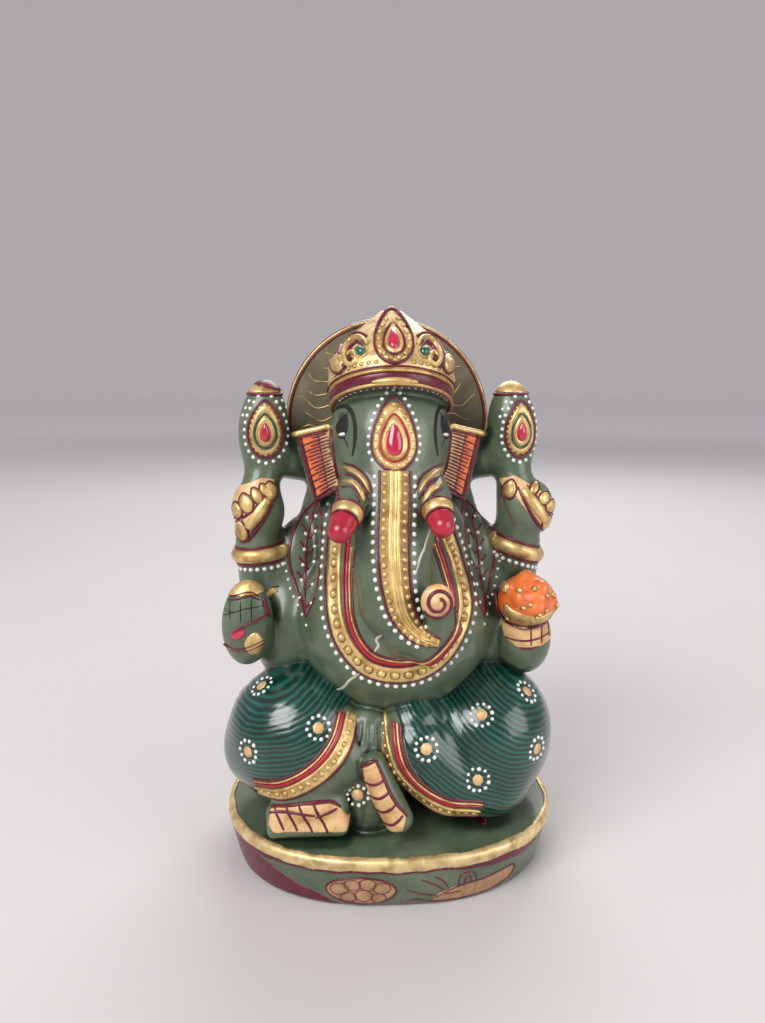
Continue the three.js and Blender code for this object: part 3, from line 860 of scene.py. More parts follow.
def area(points):
    """Signed distance in the front view to a closed outline, negative inside."""
    points = np.asarray(points, float)

    def f(p):
        x, z = p[0], p[2]
        best, inside = 1e9, False
        for (ax, az), (bx, bz) in zip(points, np.roll(points, -1, 0)):
            ex, ez = bx - ax, bz - az
            t = np.clip(((x - ax) * ex + (z - az) * ez) / (ex * ex + ez * ez), 0, 1)
            best = np.minimum(best, np.hypot(x - ax - t * ex, z - az - t * ez))
            if ez:
                inside = inside ^ (((az > z) != (bz > z)) & (x < (z - az) * ex / ez + ax))
        return np.where(inside, -best, best)

    return f


def within(outline, back):
    """The part of an outline that lies in front of a depth."""
    shape = area(outline)
    return lambda p: np.maximum(shape(p), p[1] - back)


# ---- The build ----

CREASE = 2.4
field, axes = evaluate(STONE, LOW, HIGH, VOXEL)
SKIN = Skin(field, axes, VOXEL)
body = Piece("carved_stone", "stone", "stone_carving")
points, quads = surface(field, axes, VOXEL)
body.add(points, quads)
stone_object = body.done()
# How open the surface is, from how far away the stone is a short way off it: 0 in a crease, 1 on the open;
# the stone's finish paints shade into the creases from it.
lifted = points + SKIN.normal(points) * CREASE
cavity = np.clip(SKIN.at(lifted) / CREASE, 0, 1)
hollow = stone_object.data.attributes.new("cavity", "FLOAT", "POINT")
hollow.data.foreach_set("value", cavity.astype(np.float32))

# Shared pieces for small repeated marks.
dots = Piece("white_dots", "white")
lines = Piece("maroon_lines", "maroon")
shades = Piece("bead_shadows", "antique_and_shadow_gold")


# ---- Crown ----


def crown_shell(p):
    return np.maximum(crown_field(p, 0.8), 3.9 - rim_height(p))


def crown_block(form):
    return [(form, [-20, -27, 110], [20, 13, 152], 0.5, 1)]


CORE = skin_of(crown_block(crown_field), (-20, -27, 112), (20, 12, 152), 0.4)
shell = Piece("crown_shell_gilding", "flat_gold", "crown_shell")
DRESS = shell.sculpt(crown_block(crown_shell), (-20, -27, 120), (20, 12, 152), 0.35)
shell.done()


def rim_ring(height, reach=150.0, radius=16.0, step=1.2):
    """Points round the crown at a height above its tilted rim, from side to side."""
    t = math.radians(CROWN["lean"])
    a = np.radians(np.arange(-reach, reach + 0.1, step))
    y = CROWN["y"] - radius * np.cos(a)
    z = CROWN["rim"] + (height - (y - CROWN["y"]) * math.sin(t)) / math.cos(t)
    return xyz(CROWN["x"] + radius * np.sin(a), y, z)


rim = Piece("crown_rim_cords", "gold", *pair("crown_rim_cord_lower"), "crown_rim_cord_upper")
rim.band(CORE, rim_ring(0.5), cord_profile(0.5, 0.8))
rim.band(CORE, rim_ring(3.55), cord_profile(0.45, 0.85))
rim.done()
clasp = Piece("brow_clasp_gilding", "gold", "brow_clasp")
clasp.band(CORE, rim_ring(1.1, 20), cord_profile(0.95, 1.1), [0.5, 0.8, 1, 1, 1, 0.8, 0.5])
clasp.band(CORE, rim_ring(1.15, 9), cord_profile(0.45, 1.5), [0.2, 1, 0.2])
clasp.done()
rim_band = Piece("crown_rim_lacquer", "maroon", "crown_rim_band")
rim_band.band(CORE, rim_ring(2.0), [(-1.3, 0.2), (-0.8, 0.4), (0.8, 0.4), (1.2, 0.2)])
rim_band.done()
lines.line(CORE, rim_ring(4.3, 140), 0.6, 1.15)
lines.line(SKIN, rim_ring(-0.35, 95), 0.7, 0.3)
dots.beads(SKIN, even(rim_ring(-1.25, 62), 1.75), 0.42)

CENTRE = drop(0.2, 139.9, 4.6, 8.7, 4.7)
MIDDLE = (0.2, 139.6)
plate = Piece("crown_plaque_gilding", "gold",
              "crown_centre_plaque", *pair("crown_scroll"), *pair("crown_side_rosette"))
plate.plaque(DRESS, MIDDLE, CENTRE, [(1, 0.2), (0.97, 0.55), (0.72, 0.6), (0.68, 0.35), (0.5, 0.4),
                                     (0.44, 0.85), (0.36, 0.9), (0.3, 0.5), (0.2, 0.5)])
plate.beads(DRESS, even(loop(scaled(CENTRE, MIDDLE, 0.8)), 1.9)[1:-1], 0.6, lift=0.55)
rubies = Piece("crown_ruby", "ruby", "crown_centre_ruby")
rubies.plaque(DRESS, (0.1, 139.6), drop(0.1, 139.9, 1.3, 3.6, 1.9),
              [(1, 0.6), (0.85, 1.1), (0.5, 1.35), (0.2, 1.4)])
rubies.done()
lines.rim(DRESS, CENTRE, MIDDLE, 1.02, 0.8, 0.75)
lines.rim(DRESS, CENTRE, MIDDLE, 0.56, 0.7, 0.75)

SCROLL = [(6.2, 139.6), (7.4, 141.3), (9.3, 141.4), (11.2, 139.6), (11.9, 137), (10.9, 134.9),
          (9.2, 135.2), (8.9, 136.9), (10.1, 137.7), (10.8, 136.7)]
gems = Piece("crown_emeralds", "emerald", *pair("crown_emerald"))
for s in (-1, 1):
    coil = curve([(s * x - 0.1, z) for x, z in SCROLL], 0.4)
    plate.band(DRESS, coil, cord_profile(0.75, 1.0), [0.7, 1, 1, 1, 0.9, 0.6])
    lines.line(DRESS, shift(coil, s * -1.2)[: len(coil) * 4 // 5], 1.0, 0.85)
    lines.line(DRESS, shift(coil, s * 1.05)[4 : len(coil) * 2 // 3], 0.75, 0.7)
    gem_at = (s * 7.7 - 0.1, 137.9)
    gems.plaque(DRESS, gem_at, disc(*gem_at, 1.2), [(1, 0.4), (0.8, 1.0), (0.4, 1.35)])
    plate.band(DRESS, loop(disc(*gem_at, 1.4), 0.3), cord_profile(0.25, 0.6), closed=True)
    rosette_at = (s * 13.9 + 0.3, 135.2)
    rosette = disc(*rosette_at, 1.7, 16, 2.4)
    plate.plaque(DRESS, rosette_at, rosette, [(1, 0.3), (0.8, 0.8), (0.5, 0.6), (0.3, 1.0)])
    lines.rim(DRESS, rosette, rosette_at, 1.1, 0.75, 0.55)
gems.done()
plate.beads(DRESS, [p for p in even(rim_ring(5.5, 75), 1.85) if abs(p[0] - 0.2) > 4.4], 0.48)
plate.done()

# ---- Face ----

TILAK = drop(0, 115.6, 5.2, 10.8, 6)
BROW = (0, 115.2)
mark = Piece("tilak_gilding", "gold", "tilak_plaque")
mark.plaque(SKIN, BROW, TILAK, [(1, 0.2), (0.96, 0.6), (0.74, 0.7), (0.7, 0.4), (0.6, 0.4), (0.56, 1.0),
                                (0.46, 1.1), (0.4, 0.6), (0.2, 0.6)])
mark.beads(SKIN, even(loop(scaled(TILAK, BROW, 0.86)), 1.9)[:-1], 0.62, lift=0.5)
mark.done()
brow_stone = Piece("tilak_ruby_stone", "ruby", "tilak_ruby")
brow_stone.plaque(SKIN, BROW, drop(0, 115.6, 2.0, 5.6, 3.0), [(1, 0.6), (0.85, 1.0), (0.5, 1.3), (0.2, 1.4)])
brow_stone.done()
lines.rim(SKIN, TILAK, BROW, 1.04, 0.8, 0.35)
tilak_red = Piece("tilak_lacquer", "crimson")
tilak_red.rim(SKIN, TILAK, BROW, 0.67, 0.6, 0.85)
tilak_red.done()
dots.beads(SKIN, [p for p in even(loop(scaled(TILAK, BROW, 1.22)), 1.9) if p[1] > 110.8], 0.55)

STRIP = curve([(0, 109.4), (-0.2, 102.5), (-0.6, 96), (-0.7, 89.3), (-0.2, 82.5), (1.4, 76.4), (5, 71.6),
               (9.6, 70.2)])
NARROW = [1, 1, 1, 1, 0.95, 0.85, 0.65, 0.3]
RIDGES = mirrored((3.4, 0.1), (3.3, 0.45), (1.5, 0.45), (1.3, 0.95), (0.9, 1.15), (0.5, 0.9), (0.3, 0.4))
strip = Piece("trunk_strip_gilding", "gold", "trunk_strip")
strip.band(SKIN, STRIP, RIDGES, NARROW)
narrowing = np.interp(np.linspace(0, 1, len(STRIP)), np.linspace(0, 1, len(NARROW)), NARROW)


def beside_strip(s, across):
    """A line beside the trunk's strip, drawn in as the strip narrows."""
    return STRIP + (shift(STRIP, s) - STRIP) * (narrowing * across)[:, None]


for s in (-1, 1):
    strip.beads(SKIN, even(beside_strip(s, 2.45)[2:-5], 2.1), 0.68, lift=0.35)
    lines.line(SKIN, beside_strip(s, 3.7), 0.65, 0.3)
    dots.beads(SKIN, even(beside_strip(s, 4.9)[3:-8], 2.15), 0.62)
strip.done()

knob = Piece("trunk_tip_gilding", "peach", "trunk_tip_rosette")
TIP = knob.sculpt([egg((9.0, -41.4, 80.6), (3.9, 2.3, 4.2)), egg((9.0, -43.4, 80.6), (1.3, 0.8, 1.4), k=0.6)],
                  (3, -47, 75), (15, -38, 87), 0.3)
knob.done()
swirl = [(9.0 + 0.95 * r * math.cos(q), 80.7 + r * math.sin(q))
         for q, r in zip(np.linspace(-2.6, 7.6, 34), np.linspace(3.9, 1.1, 34))]
lines.line(TIP, curve(swirl, 0.4), 0.9, 0.35)

tips = Piece("tusk_tip_lacquer", "crimson", *pair("tusk_tip"))
sheaths = Piece("tusk_sheath_gilding", "gold", *pair("tusk_sheath"))
for path in TUSK_LINE.values():
    a, b = np.array(path[1][:3]), np.array(path[2][:3])
    along = (b - a) / np.linalg.norm(b - a)
    u = np.cross(along, [0, 0, 1.0])
    u /= np.linalg.norm(u)
    v = np.cross(along, u)

    def hoop(t):
        """A ring round the tusk, a way along it."""
        q = np.linspace(0, 2 * math.pi, 40)
        return a + along * t + 4.2 * (np.cos(q)[:, None] * u + np.sin(q)[:, None] * v)

    def beyond(p, field):
        cut = 7.4 - sum((p[i] - a[i]) * along[i] for i in range(3))
        h = np.clip(0.5 - 0.5 * (cut - field) / 0.5, 0, 1)
        return cut * (1 - h) + field * h + 0.5 * h * (1 - h)

    grown = [(*q[:3], q[3] + 0.4) for q in path[1:]]
    tips.sculpt([arm(grown)], b - 8, b + 8, 0.35, beyond)
    sheaths.band(SKIN, hoop(5.6), mirrored((1.4, 0.1), (1.1, 0.35)), closed=True)
    lines.line(SKIN, hoop(7.3), 0.6, 0.5, closed=True)
    lines.line(SKIN, hoop(3.9), 0.7, 0.4, closed=True)
CHEEKS = (
    [(-12.6, 109.6), (-9.8, 109), (-7.5, 107.2), (-6.4, 104.4)],
    [(-13, 106.8), (-10.4, 107), (-8.6, 105.4), (-7.8, 102.8)],
    [(5.8, 104.2), (7.3, 107.2), (10.3, 108.8), (12.8, 109)],
    [(6.6, 102.4), (8.3, 105.2), (11, 106.6)],
)
for path in CHEEKS:
    arc = curve(path, 0.4)
    sheaths.band(SKIN, arc, mirrored((0.75, 0.15), (0.5, 0.4)), [0.3, 1, 1, 1, 0.4])
    for by in (-1.0, 1.0):
        lines.line(SKIN, shift(arc, by), 0.55, 0.4, taper=0.4)
finish(tips, sheaths)

# ---- Ears ----


def ear_at(s, u, v):
    """A point on an ear: u from the head outwards, v from the top down."""
    top = (15.4 + (24.7 - 15.4) * u, 119.2 + (117.0 - 119.2) * u)
    foot = (13.6 + (20.1 - 13.6) * u, 103.0 + (99.4 - 103.0) * u)
    return (s * (top[0] + (foot[0] - top[0]) * v), top[1] + (foot[1] - top[1]) * v)


def ear_strip(s, inner, outer, top=0.03, foot=0.98):
    """The part of an ear's front between two shares of its width."""
    corners = ((inner, top), (outer, top), (outer, foot), (inner, foot))
    shape = area([ear_at(s, u, v) for u, v in corners])
    flap = ear_field(s)[0]
    return lambda p: np.maximum(np.maximum(shape(p), flap(p) - 0.5), p[1] + 1.2)


def ear_line(s, spots, step=0.5):
    return curve([ear_at(s, u, v) for u, v in spots], step)


panels = Piece("ear_gilding", "peach", *pair("ear_panel"))
strips = Piece("ear_orange", "orange", *pair("ear_border"))
edges = Piece("ear_lacquer", "maroon")
rolls = Piece("ear_rolls", "gold")
for s, split in ((-1, 0.42), (1, 0.55)):
    x0, x1 = sorted((s * 11, s * 28))
    for piece, *shares in (
        (panels, 0.0, split),
        (strips, split, 0.9),
        (edges, 0.9, 1.04),
        (edges, -0.02, 1.04, 0.98, 1.05),
    ):
        piece.coat(ear_strip(s, *shares), (x0, -13, 96), (x1, 0, 122), 0.3)
    rolls.band(SKIN, ear_line(s, [(u, 0.02) for u in np.linspace(-0.02, 1.05, 5)]), cord_profile(0.7, 1.2))
    lines.line(SKIN, ear_line(s, [(u, 0.075) for u in np.linspace(0.0, 1.0, 5)]), 0.5, 0.75)
    for i in range(17):
        v = 0.11 + i * 0.0525
        tilt = 0.015 * math.sin(0.9 * i) + 0.03
        reach = 0.62 + 0.3 * abs(math.sin(1.7 * i))
        bow = [(u, v + tilt * u * u) for u in (0.02, 0.25 * reach, 0.6 * reach, reach)]
        lines.line(SKIN, ear_line(s, bow), 0.58, 0.62, taper=0.5)
    lines.line(SKIN, ear_line(s, [(0.01, v) for v in (0.05, 0.5, 0.98)]), 0.7, 0.55)
finish(panels, strips, edges, rolls)

# ---- Necklace ----

COLLAR = curve([(-12.6, 100), (-13.5, 95), (-14.4, 88), (-14.9, 80.5), (-14.5, 72.8), (-12.2, 66.3),
                (-7.6, 61.2), (-1.2, 59.2), (5.6, 59.8), (11, 62.8), (15.1, 67.8), (17.7, 73.4), (17.6, 79),
                (15.8, 86), (13.4, 92.5), (11.6, 98)], 0.6)
CHEST = skin_of(TORSO, (-32, -40, 40), (32, 10, 112), 0.8)


def under_tusks(line):
    """A front-view line laid on the chest, behind the tusks where they hang over it."""
    top = (line[:, 1] > 90.5)[:, None]
    return np.where(top, CHEST.front(line), SKIN.front(line))


collar = Piece("necklace_gilding", "gold", "necklace_band")
collar.band(SKIN, under_tusks(COLLAR), mirrored((2.1, 0.1), (2.0, 0.6), (1.4, 0.8), (0.9, 0.45)))
collar.beads(SKIN, under_tusks(even(COLLAR[4:-6], 3.3)), 1.05, 0.8, lift=0.45)
collar.band(SKIN, under_tusks(shift(COLLAR, 3.9)), cord_profile(0.3, 0.55))
collar.done()
lining = Piece("necklace_lacquer", "crimson", "necklace_lining")
lining.band(SKIN, under_tusks(shift(COLLAR, 3.0)), mirrored((0.5, 0.1), (0.3, 0.4)))
lining.done()
for by, width, height in ((-2.35, 0.55, 0.4), (2.4, 0.5, 0.45), (4.45, 0.6, 0.35)):
    lines.line(SKIN, under_tusks(shift(COLLAR, by)), width, height)
dots.beads(SKIN, under_tusks(even(shift(COLLAR, -3.5)[5:-7], 2.2)), 0.66)

# ---- Raised hands ----

RAISED = {-1: ((-32.8, 117.0), 4.0), 1: ((35.0, 116.9), 3.6)}
HAND_X, HAND_Y, HAND_Z = 33.8, -2, 117.6


def cap_form(s, grown):
    radii = (6.7 + grown[0], 6.5 + grown[1], 12.6 + grown[2])
    return egg((s * HAND_X, HAND_Y, HAND_Z), radii, (0, s * -4, 0))


crests = Piece("raised_hand_gilding", "gold", *pair("upper_hand_plaque"))
hand_gems = Piece("raised_hand_rubies", "ruby", *pair("upper_hand_ruby"))
greens = Piece("green_lines", "green")
caps = Piece("raised_hand_caps", "gold", *pair("upper_hand_cap"))
for s, (centre, half) in RAISED.items():
    shape = drop(*centre, half, 7.6, 5.6)
    crests.plaque(SKIN, centre, shape, [(1, 0.2), (0.94, 0.5), (0.78, 0.55), (0.74, 0.35), (0.6, 0.35),
                                        (0.55, 0.9), (0.44, 1.0), (0.36, 0.5)])
    crests.beads(SKIN, even(loop(scaled(shape, centre, 0.98)), 1.35)[:-1], 0.5)
    greens.rim(SKIN, shape, centre, 0.68, 0.65, 0.8)
    hand_gems.plaque(SKIN, centre, drop(centre[0], centre[1] - 0.2, 1.15, 3.3, 1.9),
                     [(1, 0.5), (0.8, 1.1), (0.4, 1.3)])
    lines.rim(SKIN, shape, centre, 1.14, 0.7, 0.35)
    lines.rim(SKIN, shape, centre, 0.46, 0.35, 1.05)
    dots.beads(SKIN, even(loop(scaled(shape, centre, 1.4)), 1.9)[:-1], 0.55)
    fingers = even(loop(scaled(shape, centre, 1.68)), 2.1)
    dots.beads(SKIN, [q for q in fingers if 121 < q[1] < 126.4], 0.5)
    x = s * HAND_X
    caps.sculpt([cap_form(s, (0.4, 0.4, 0.5))], (x - 9, -11, 125), (x + 9, 8, 133), 0.4,
                lambda p, f: np.maximum(f, 127.4 - p[2]))
    q = np.linspace(0, 2 * math.pi, 40)
    cap_edge = xyz(x - s * 0.7 + 4.8 * np.cos(q), HAND_Y + 4.6 * np.sin(q), 127.3)
    lines.line(SKIN, cap_edge, 0.8, 0.6, closed=True)
left_cap = Piece("left_cap_lacquer", "maroon")
left_cap.sculpt([cap_form(-1, (0.8, 0.8, 0.8))], (-42, -11, 125), (-25, 8, 133), 0.35,
                lambda p, f: np.maximum(f, 129.3 - 0.25 * (p[0] + 34) - p[2]))
finish(left_cap, caps, crests, hand_gems, greens)

# ---- Lower arms ----

# Each bangle's height, and how much its outer side is tipped up.
BANGLES = {-1: (84.4, 0.6), 1: (85.0, -2.2)}
BANGLE_PROFILE = [(-1.9, 0.2), (-1.6, 0.9), (-0.4, 1.5), (0.5, 1.5), (1.6, 0.9), (1.9, 0.2)]


def arm_ring(s, drop_by):
    """A ring round a lower arm, some way below its bangle."""
    z, tip = BANGLES[s]
    q = np.linspace(0, 2 * math.pi, 60)
    x = 6.4 * np.cos(q)
    return xyz(s * 35.7 + x, -3.6 + 6.4 * np.sin(q), z - drop_by + tip * x / 7)


bangles = Piece("bangle_gilding", "gold", *pair("bangle"))
for s in BANGLES:
    bangles.band(SKIN, arm_ring(s, 0), BANGLE_PROFILE, closed=True)
    lines.line(SKIN, arm_ring(s, 2.35), 0.7, 0.4, closed=True)
    lines.line(SKIN, arm_ring(s, -2.3), 0.7, 0.4, closed=True)
    dots.beads(SKIN, [p for p in even(arm_ring(s, 3.7), 2.0) if p[1] < -4.2], 0.62)
bangles.done()

FISTS = {
    -1: [(-43, 99), (-40.6, 103), (-33.9, 105.6), (-30.8, 105), (-30.4, 101.8), (-32.3, 99.4), (-37.1, 94.4),
         (-38.4, 90.2), (-43, 91.4)],
    1: [(29.8, 104.6), (33.6, 105.8), (38.8, 102.6), (45, 99), (45.5, 93.6), (42.6, 90.2), (37.3, 95),
        (33.2, 100.6), (30.8, 101)],
}
grip = Piece("fist_ground", "peach")
for s, shape in FISTS.items():
    x0, x1 = sorted((s * 27, s * 46))
    cover = area(shape)
    grip.coat(lambda p: np.maximum(cover(p), p[1] + 2.8 + 0.05 * (p[2] - 97) ** 2),
              (x0, -14, 88), (x1, -1.5, 108), 0.25)
grip.done()

# Each knuckle: across, up, half width, half height, tilt.
KNUCKLES = (
    (-40.4, 97, 1.2, 1.9, 10), (-37.9, 99, 1.5, 2.3, 20), (-35.2, 100.9, 1.1, 2.0, 30),
    (-33.4, 102.4, 0.9, 1.5, 30), (-31.9, 102, 1.3, 2.2, 10), (-39.7, 91.3, 1.5, 2.7, 12),
    (32.4, 102, 1.3, 2.3, -10), (38.6, 102.2, 0.9, 1.6, -35), (41.2, 99.6, 1.3, 1.5, -40),
    (43.2, 97.4, 1.3, 1.6, -40), (42.2, 93.0, 1.0, 1.9, -20),
)
knuckles = Piece("fist_gilding", "gold", *pair("fist_gilding"))
for x, z, w, h, tilt in KNUCKLES:
    w, h = w * 1.15, h * 1.1
    knuckles.plaque(SKIN, (x, z), drop(x, z, w, h, h, tilt, 16), [(1, 0.3), (0.85, 0.7), (0.5, 0.85)])
    ring = drop(x, z, w + 0.2, h + 0.2, h + 0.2, tilt, 16)
    lines.line(SKIN, loop(ring, 0.4), 0.5, 0.5, closed=True)
for path in ([(-32.3, 99.9), (-35, 96), (-37.6, 92.6)], [(35.6, 102), (38.6, 98), (41.8, 93.6)]):
    knuckles.band(SKIN, curve(path), [(-1.5, 0.2), (-1.3, 0.8), (0, 0.95), (1.3, 0.8), (1.5, 0.2)],
                  [0.7, 1, 1, 0.75])
knuckles.done()
lines.strokes(SKIN, 0.45, (
    (0.9, [(-41.6, 94.6), (-38.6, 95.4), (-35.6, 98), (-33.5, 100.8)]),
    (1.2, [(-30.9, 99.6), (-33.4, 95), (-38, 88.4)]),
    (0.8, [(-39.2, 94.6), (-37.7, 90.6)]),
    (0.9, [(36.7, 103), (40, 99), (44.4, 94.6)]),
    (1.1, [(34.3, 102.6), (36, 98.6), (38.4, 94.6), (42.4, 89.6)]),
    (0.6, [(43.6, 94.4), (42.8, 90.4)]),
    (0.35, [(30.9, 99.4), (31.8, 96.4), (33.8, 92.2)]),
    (0.4, [(30.6, 103.4), (30.4, 99.6)]),
))

# ---- Sweet and palm ----

sweet = Piece("modak_lacquer", "orange", "modak_coat")
LUMPS = ((38.6, -20.4, 77.4, 2.2), (33, -21.8, 75.4, 2.4), (41.2, -18.6, 73.2, 2.3),
         (37.4, -22.6, 72.8, 2.2), (31.2, -19, 77.4, 1.8), (35.6, -17, 79.4, 2.2))
SWEET = [egg((35.9, -16.5, 73.2), (7.6, 7.2, 7.1))] + [egg(at, (r, r, r), k=1.6) for *at, r in LUMPS]
BALL = sweet.sculpt(SWEET, (26, -26, 63), (46, -7, 83), 0.4, lambda p, f: np.maximum(f, 67.6 - p[2]))
sweet.done()
gilt = Piece("offering_hand_gilding", "gold", "modak_hand_gilding")
gilt.band(BALL, curve([(29.2, 72), (31.6, 70.6), (36, 69.6), (40.4, 70), (43, 71)]),
          [(-1.7, 0.1), (-1.4, 0.35), (1.2, 0.35), (1.6, 0.1)])
for x, z in ((36.6, 77.9), (39.9, 76), (42, 75.6), (35.2, 74.1), (33.5, 73.2), (39.4, 72.4), (37.6, 71.6),
             (43.1, 72.8), (29.9, 73), (36.2, 69.6), (41.3, 69.6), (30.4, 69.2), (37.1, 70.6), (32.6, 77.6)):
    gilt.beads(BALL, [(x, z)], random.uniform(0.6, 0.85), 1.0)
grasp = Piece("offering_hand_fingers", "peach")
grasp.coat(within([(29.4, 67.2), (33, 66.8), (38, 67), (44.6, 68.4), (44.6, 63.6), (41.4, 62.2), (38.6, 61.2),
                   (33, 61.2), (30, 63.4)], -12), (27, -24, 59), (46, -11, 70), 0.35)
grasp.done()
for tilt in (-25, 35, 95):
    gilt.plaque(BALL, (29.2, 77), drop(29.2, 77, 0.8, 2.4, 0.4, tilt, 12), [(1, 0.1), (0.7, 0.7), (0.4, 0.8)])
gilt.done()
lines.strokes(SKIN, 0.68, (
    (0.9, [(28.4, 74.4), (28.7, 70), (30.4, 67.5), (33, 66.9), (34.4, 66.4), (37.6, 67.2), (42.3, 68.2)]),
    (0.45, [(36.5, 67), (36.5, 62)]),
    (0.45, [(39.4, 67.3), (39.3, 62.4)]),
    (0.4, [(41.6, 67.6), (41.6, 63.6)]),
    (0.6, [(30.4, 63.6), (33.4, 63.2), (37, 63.4), (41.4, 64.4)]),
    (0.5, [(33.6, 61.4), (35.6, 61.2), (38.6, 61.6)]),
))

palm = Piece("blessing_hand_gilding", "gold",
             "blessing_hand_fingertips", "blessing_palm_oval", "blessing_thumb_tip")
palm.coat(within([(-46, 75.6), (-46, 82), (-33, 82), (-33.4, 76.6), (-36.8, 76.2), (-40.4, 75.9)], -13.5),
          (-47, -22, 74), (-31, -12, 82), 0.3)
palm.plaque(SKIN, (-36, 63.4), drop(-36, 63.4, 2.5, 3.4, 3.0, -8), [(1, 0.1), (0.9, 0.4), (0.4, 0.45)])
palm.plaque(SKIN, (-31.6, 75), drop(-31.6, 75, 1.4, 0.8, 0.8, 0, 14), [(1, 0.1), (0.8, 0.4)])
palm.done()
lines.strokes(SKIN, 0.62, (
    (0.5, [(-44.6, 75.4), (-41, 76), (-37, 77), (-34.6, 75.9)]),
    (0.4, [(-44.6, 74.6), (-41, 75.1), (-37, 76.1), (-34.4, 75)]),
    (1.0, [(-33.6, 75.4), (-33, 72.8), (-31.9, 70.3)]),
    (0.6, [(-32.6, 71), (-35.4, 69.8), (-38.2, 68.7), (-41.4, 66.4)]),
    (0.5, [(-43.8, 63), (-41, 61.8), (-38.4, 62.4)]),
    (0.45, [(-38.4, 62.6), (-33.8, 64.4)]),
    (0.45, [(-38.2, 61.6), (-33.8, 63.4)]),
    (0.4, [(-33, 75.8), (-30, 76)]),
))
ink = Piece("thin_dark_lines", "black")
for path in ([(-42, 74.6), (-42, 70)], [(-39.2, 75), (-39.2, 69.4)], [(-36.4, 75.4), (-36.5, 69.6)],
             [(-44.6, 72.6), (-41.4, 72), (-38, 73), (-33.6, 73.4)], [(-44.6, 70.6), (-41, 72)]):
    ink.line(SKIN, curve(path), 0.28, 0.12, taper=0.5)
lozenge = Piece("palm_lozenge", "ruby")
lozenge.plaque(SKIN, (-40, 66.4), drop(-40, 66.4, 1.5, 2.1, 2.1, -62, 16),
               [(1, 0.1), (0.8, 0.35), (0.4, 0.45)])
lozenge.done()

# ---- Garment ----

GARMENT = {
    -1: [(-14.2, 47), (-14.9, 42.4), (-17.4, 38.9), (-22.6, 34.9), (-28.2, 32.2), (-35.2, 30.2), (-36.2, 22),
         (-48, 17), (-48, 66), (-8, 66), (-8, 50)],
    1: [(0.4, 47.6), (1.5, 45), (2.2, 41.6), (3.4, 37.2), (6, 32.6), (9.4, 28.6), (13.6, 25.6), (18.4, 23.6),
        (24, 20), (48, 14), (48, 66), (-1, 66), (-0.6, 49)],
}
for (s, shape), name in zip(GARMENT.items(), ("left", "right")):
    cover = area(shape)
    leg = LEGS[s][0]
    cloth = Piece(name + "_leg_cloth", name + "_garment", "dhoti_enamel_" + name)
    x0, x1 = sorted((s * 47, s * -1))
    cloth.coat(lambda p: np.maximum(np.maximum(cover(p), leg(p) - 0.55), p[1] - 3),
               (x0, -40, 13), (x1, 4, 58), 0.35, voxel=0.45)
    cloth.done()

HEMS = {
    -1: [(-11.0, 46), (-12.6, 41.2), (-15.6, 36.8), (-19.8, 32.8), (-24.4, 29.8), (-29.3, 27.6), (-35.4, 26)],
    1: [(-2.5, 45), (-2.3, 40.4), (-1.3, 36), (0.8, 31.8), (3.8, 28.2), (7.8, 25.2), (12.4, 23.2), (18.2, 22),
        (21.6, 21.2)],
}
hems = Piece("hem_gilding", "gold", *pair("hem_band"))
trims = Piece("hem_lacquer", "crimson")
ROLL = mirrored((1.75, 0.1), (1.65, 0.6), (1.2, 0.75), (0.9, 0.5))
for s, path in HEMS.items():
    line = curve(path)
    x0, x1 = sorted((s * 46, 0))
    leg_skin = skin_of([LEGS[s]], (x0 - 6, -42, 12), (x1 + 6, 6, 58), 0.8)
    hems.band(leg_skin, line, ROLL, [0.9, 1, 1, 1, 0.9, 0.7])
    hems.beads(leg_skin, even(line[3:-3], 2.2), 0.72, lift=0.4)
    trims.band(leg_skin, shift(line, s * 2.35), mirrored((0.6, 0.1), (0.4, 0.5)), [1, 1, 1, 0.8, 0.5])
    hems.band(leg_skin, shift(line, s * 3.3), cord_profile(0.35, 0.7), [1, 1, 1, 0.6])
    lines.line(leg_skin, shift(line, s * 4.0), 0.9, 0.6)
    lines.line(leg_skin, shift(line, s * -2.0), 0.75, 0.45)
finish(hems, trims)

# ---- Flowers, feet and plinth ----

FLOWERS = ((-34.3, 51.6), (-19.4, 44.7), (-37.2, 37.6), (-9.6, 26.3), (7.6, 40.2), (22.2, 46.8), (20.8, 31.2),
           (35.3, 49.8), (36.8, 37))
petals = Piece("flower_gilding", "peach", *[f"dhoti_boss_left_{i}" for i in (1, 2, 3)],
               *[f"dhoti_boss_right_{i}" for i in (1, 2, 3, 4, 5)], "dhoti_boss_centre")
for flower in FLOWERS:
    middle = SKIN.front([flower])
    petals.beads(SKIN, middle, 1.75, 0.42)
    n = SKIN.normal(middle)[0]
    u = np.cross(n, [0, 0, 1.0])
    u /= np.linalg.norm(u)
    v = np.cross(u, n)
    for q in np.linspace(0, 2 * math.pi, 12)[:-1]:
        far = random.uniform(2.75, 3.05)
        spot = middle[0] + far * (math.cos(q) * u + math.sin(q) * v)
        dots.beads(SKIN, spot + n * 0.2, random.uniform(0.45, 0.6), 0.9, lift=0.25)
petals.done()

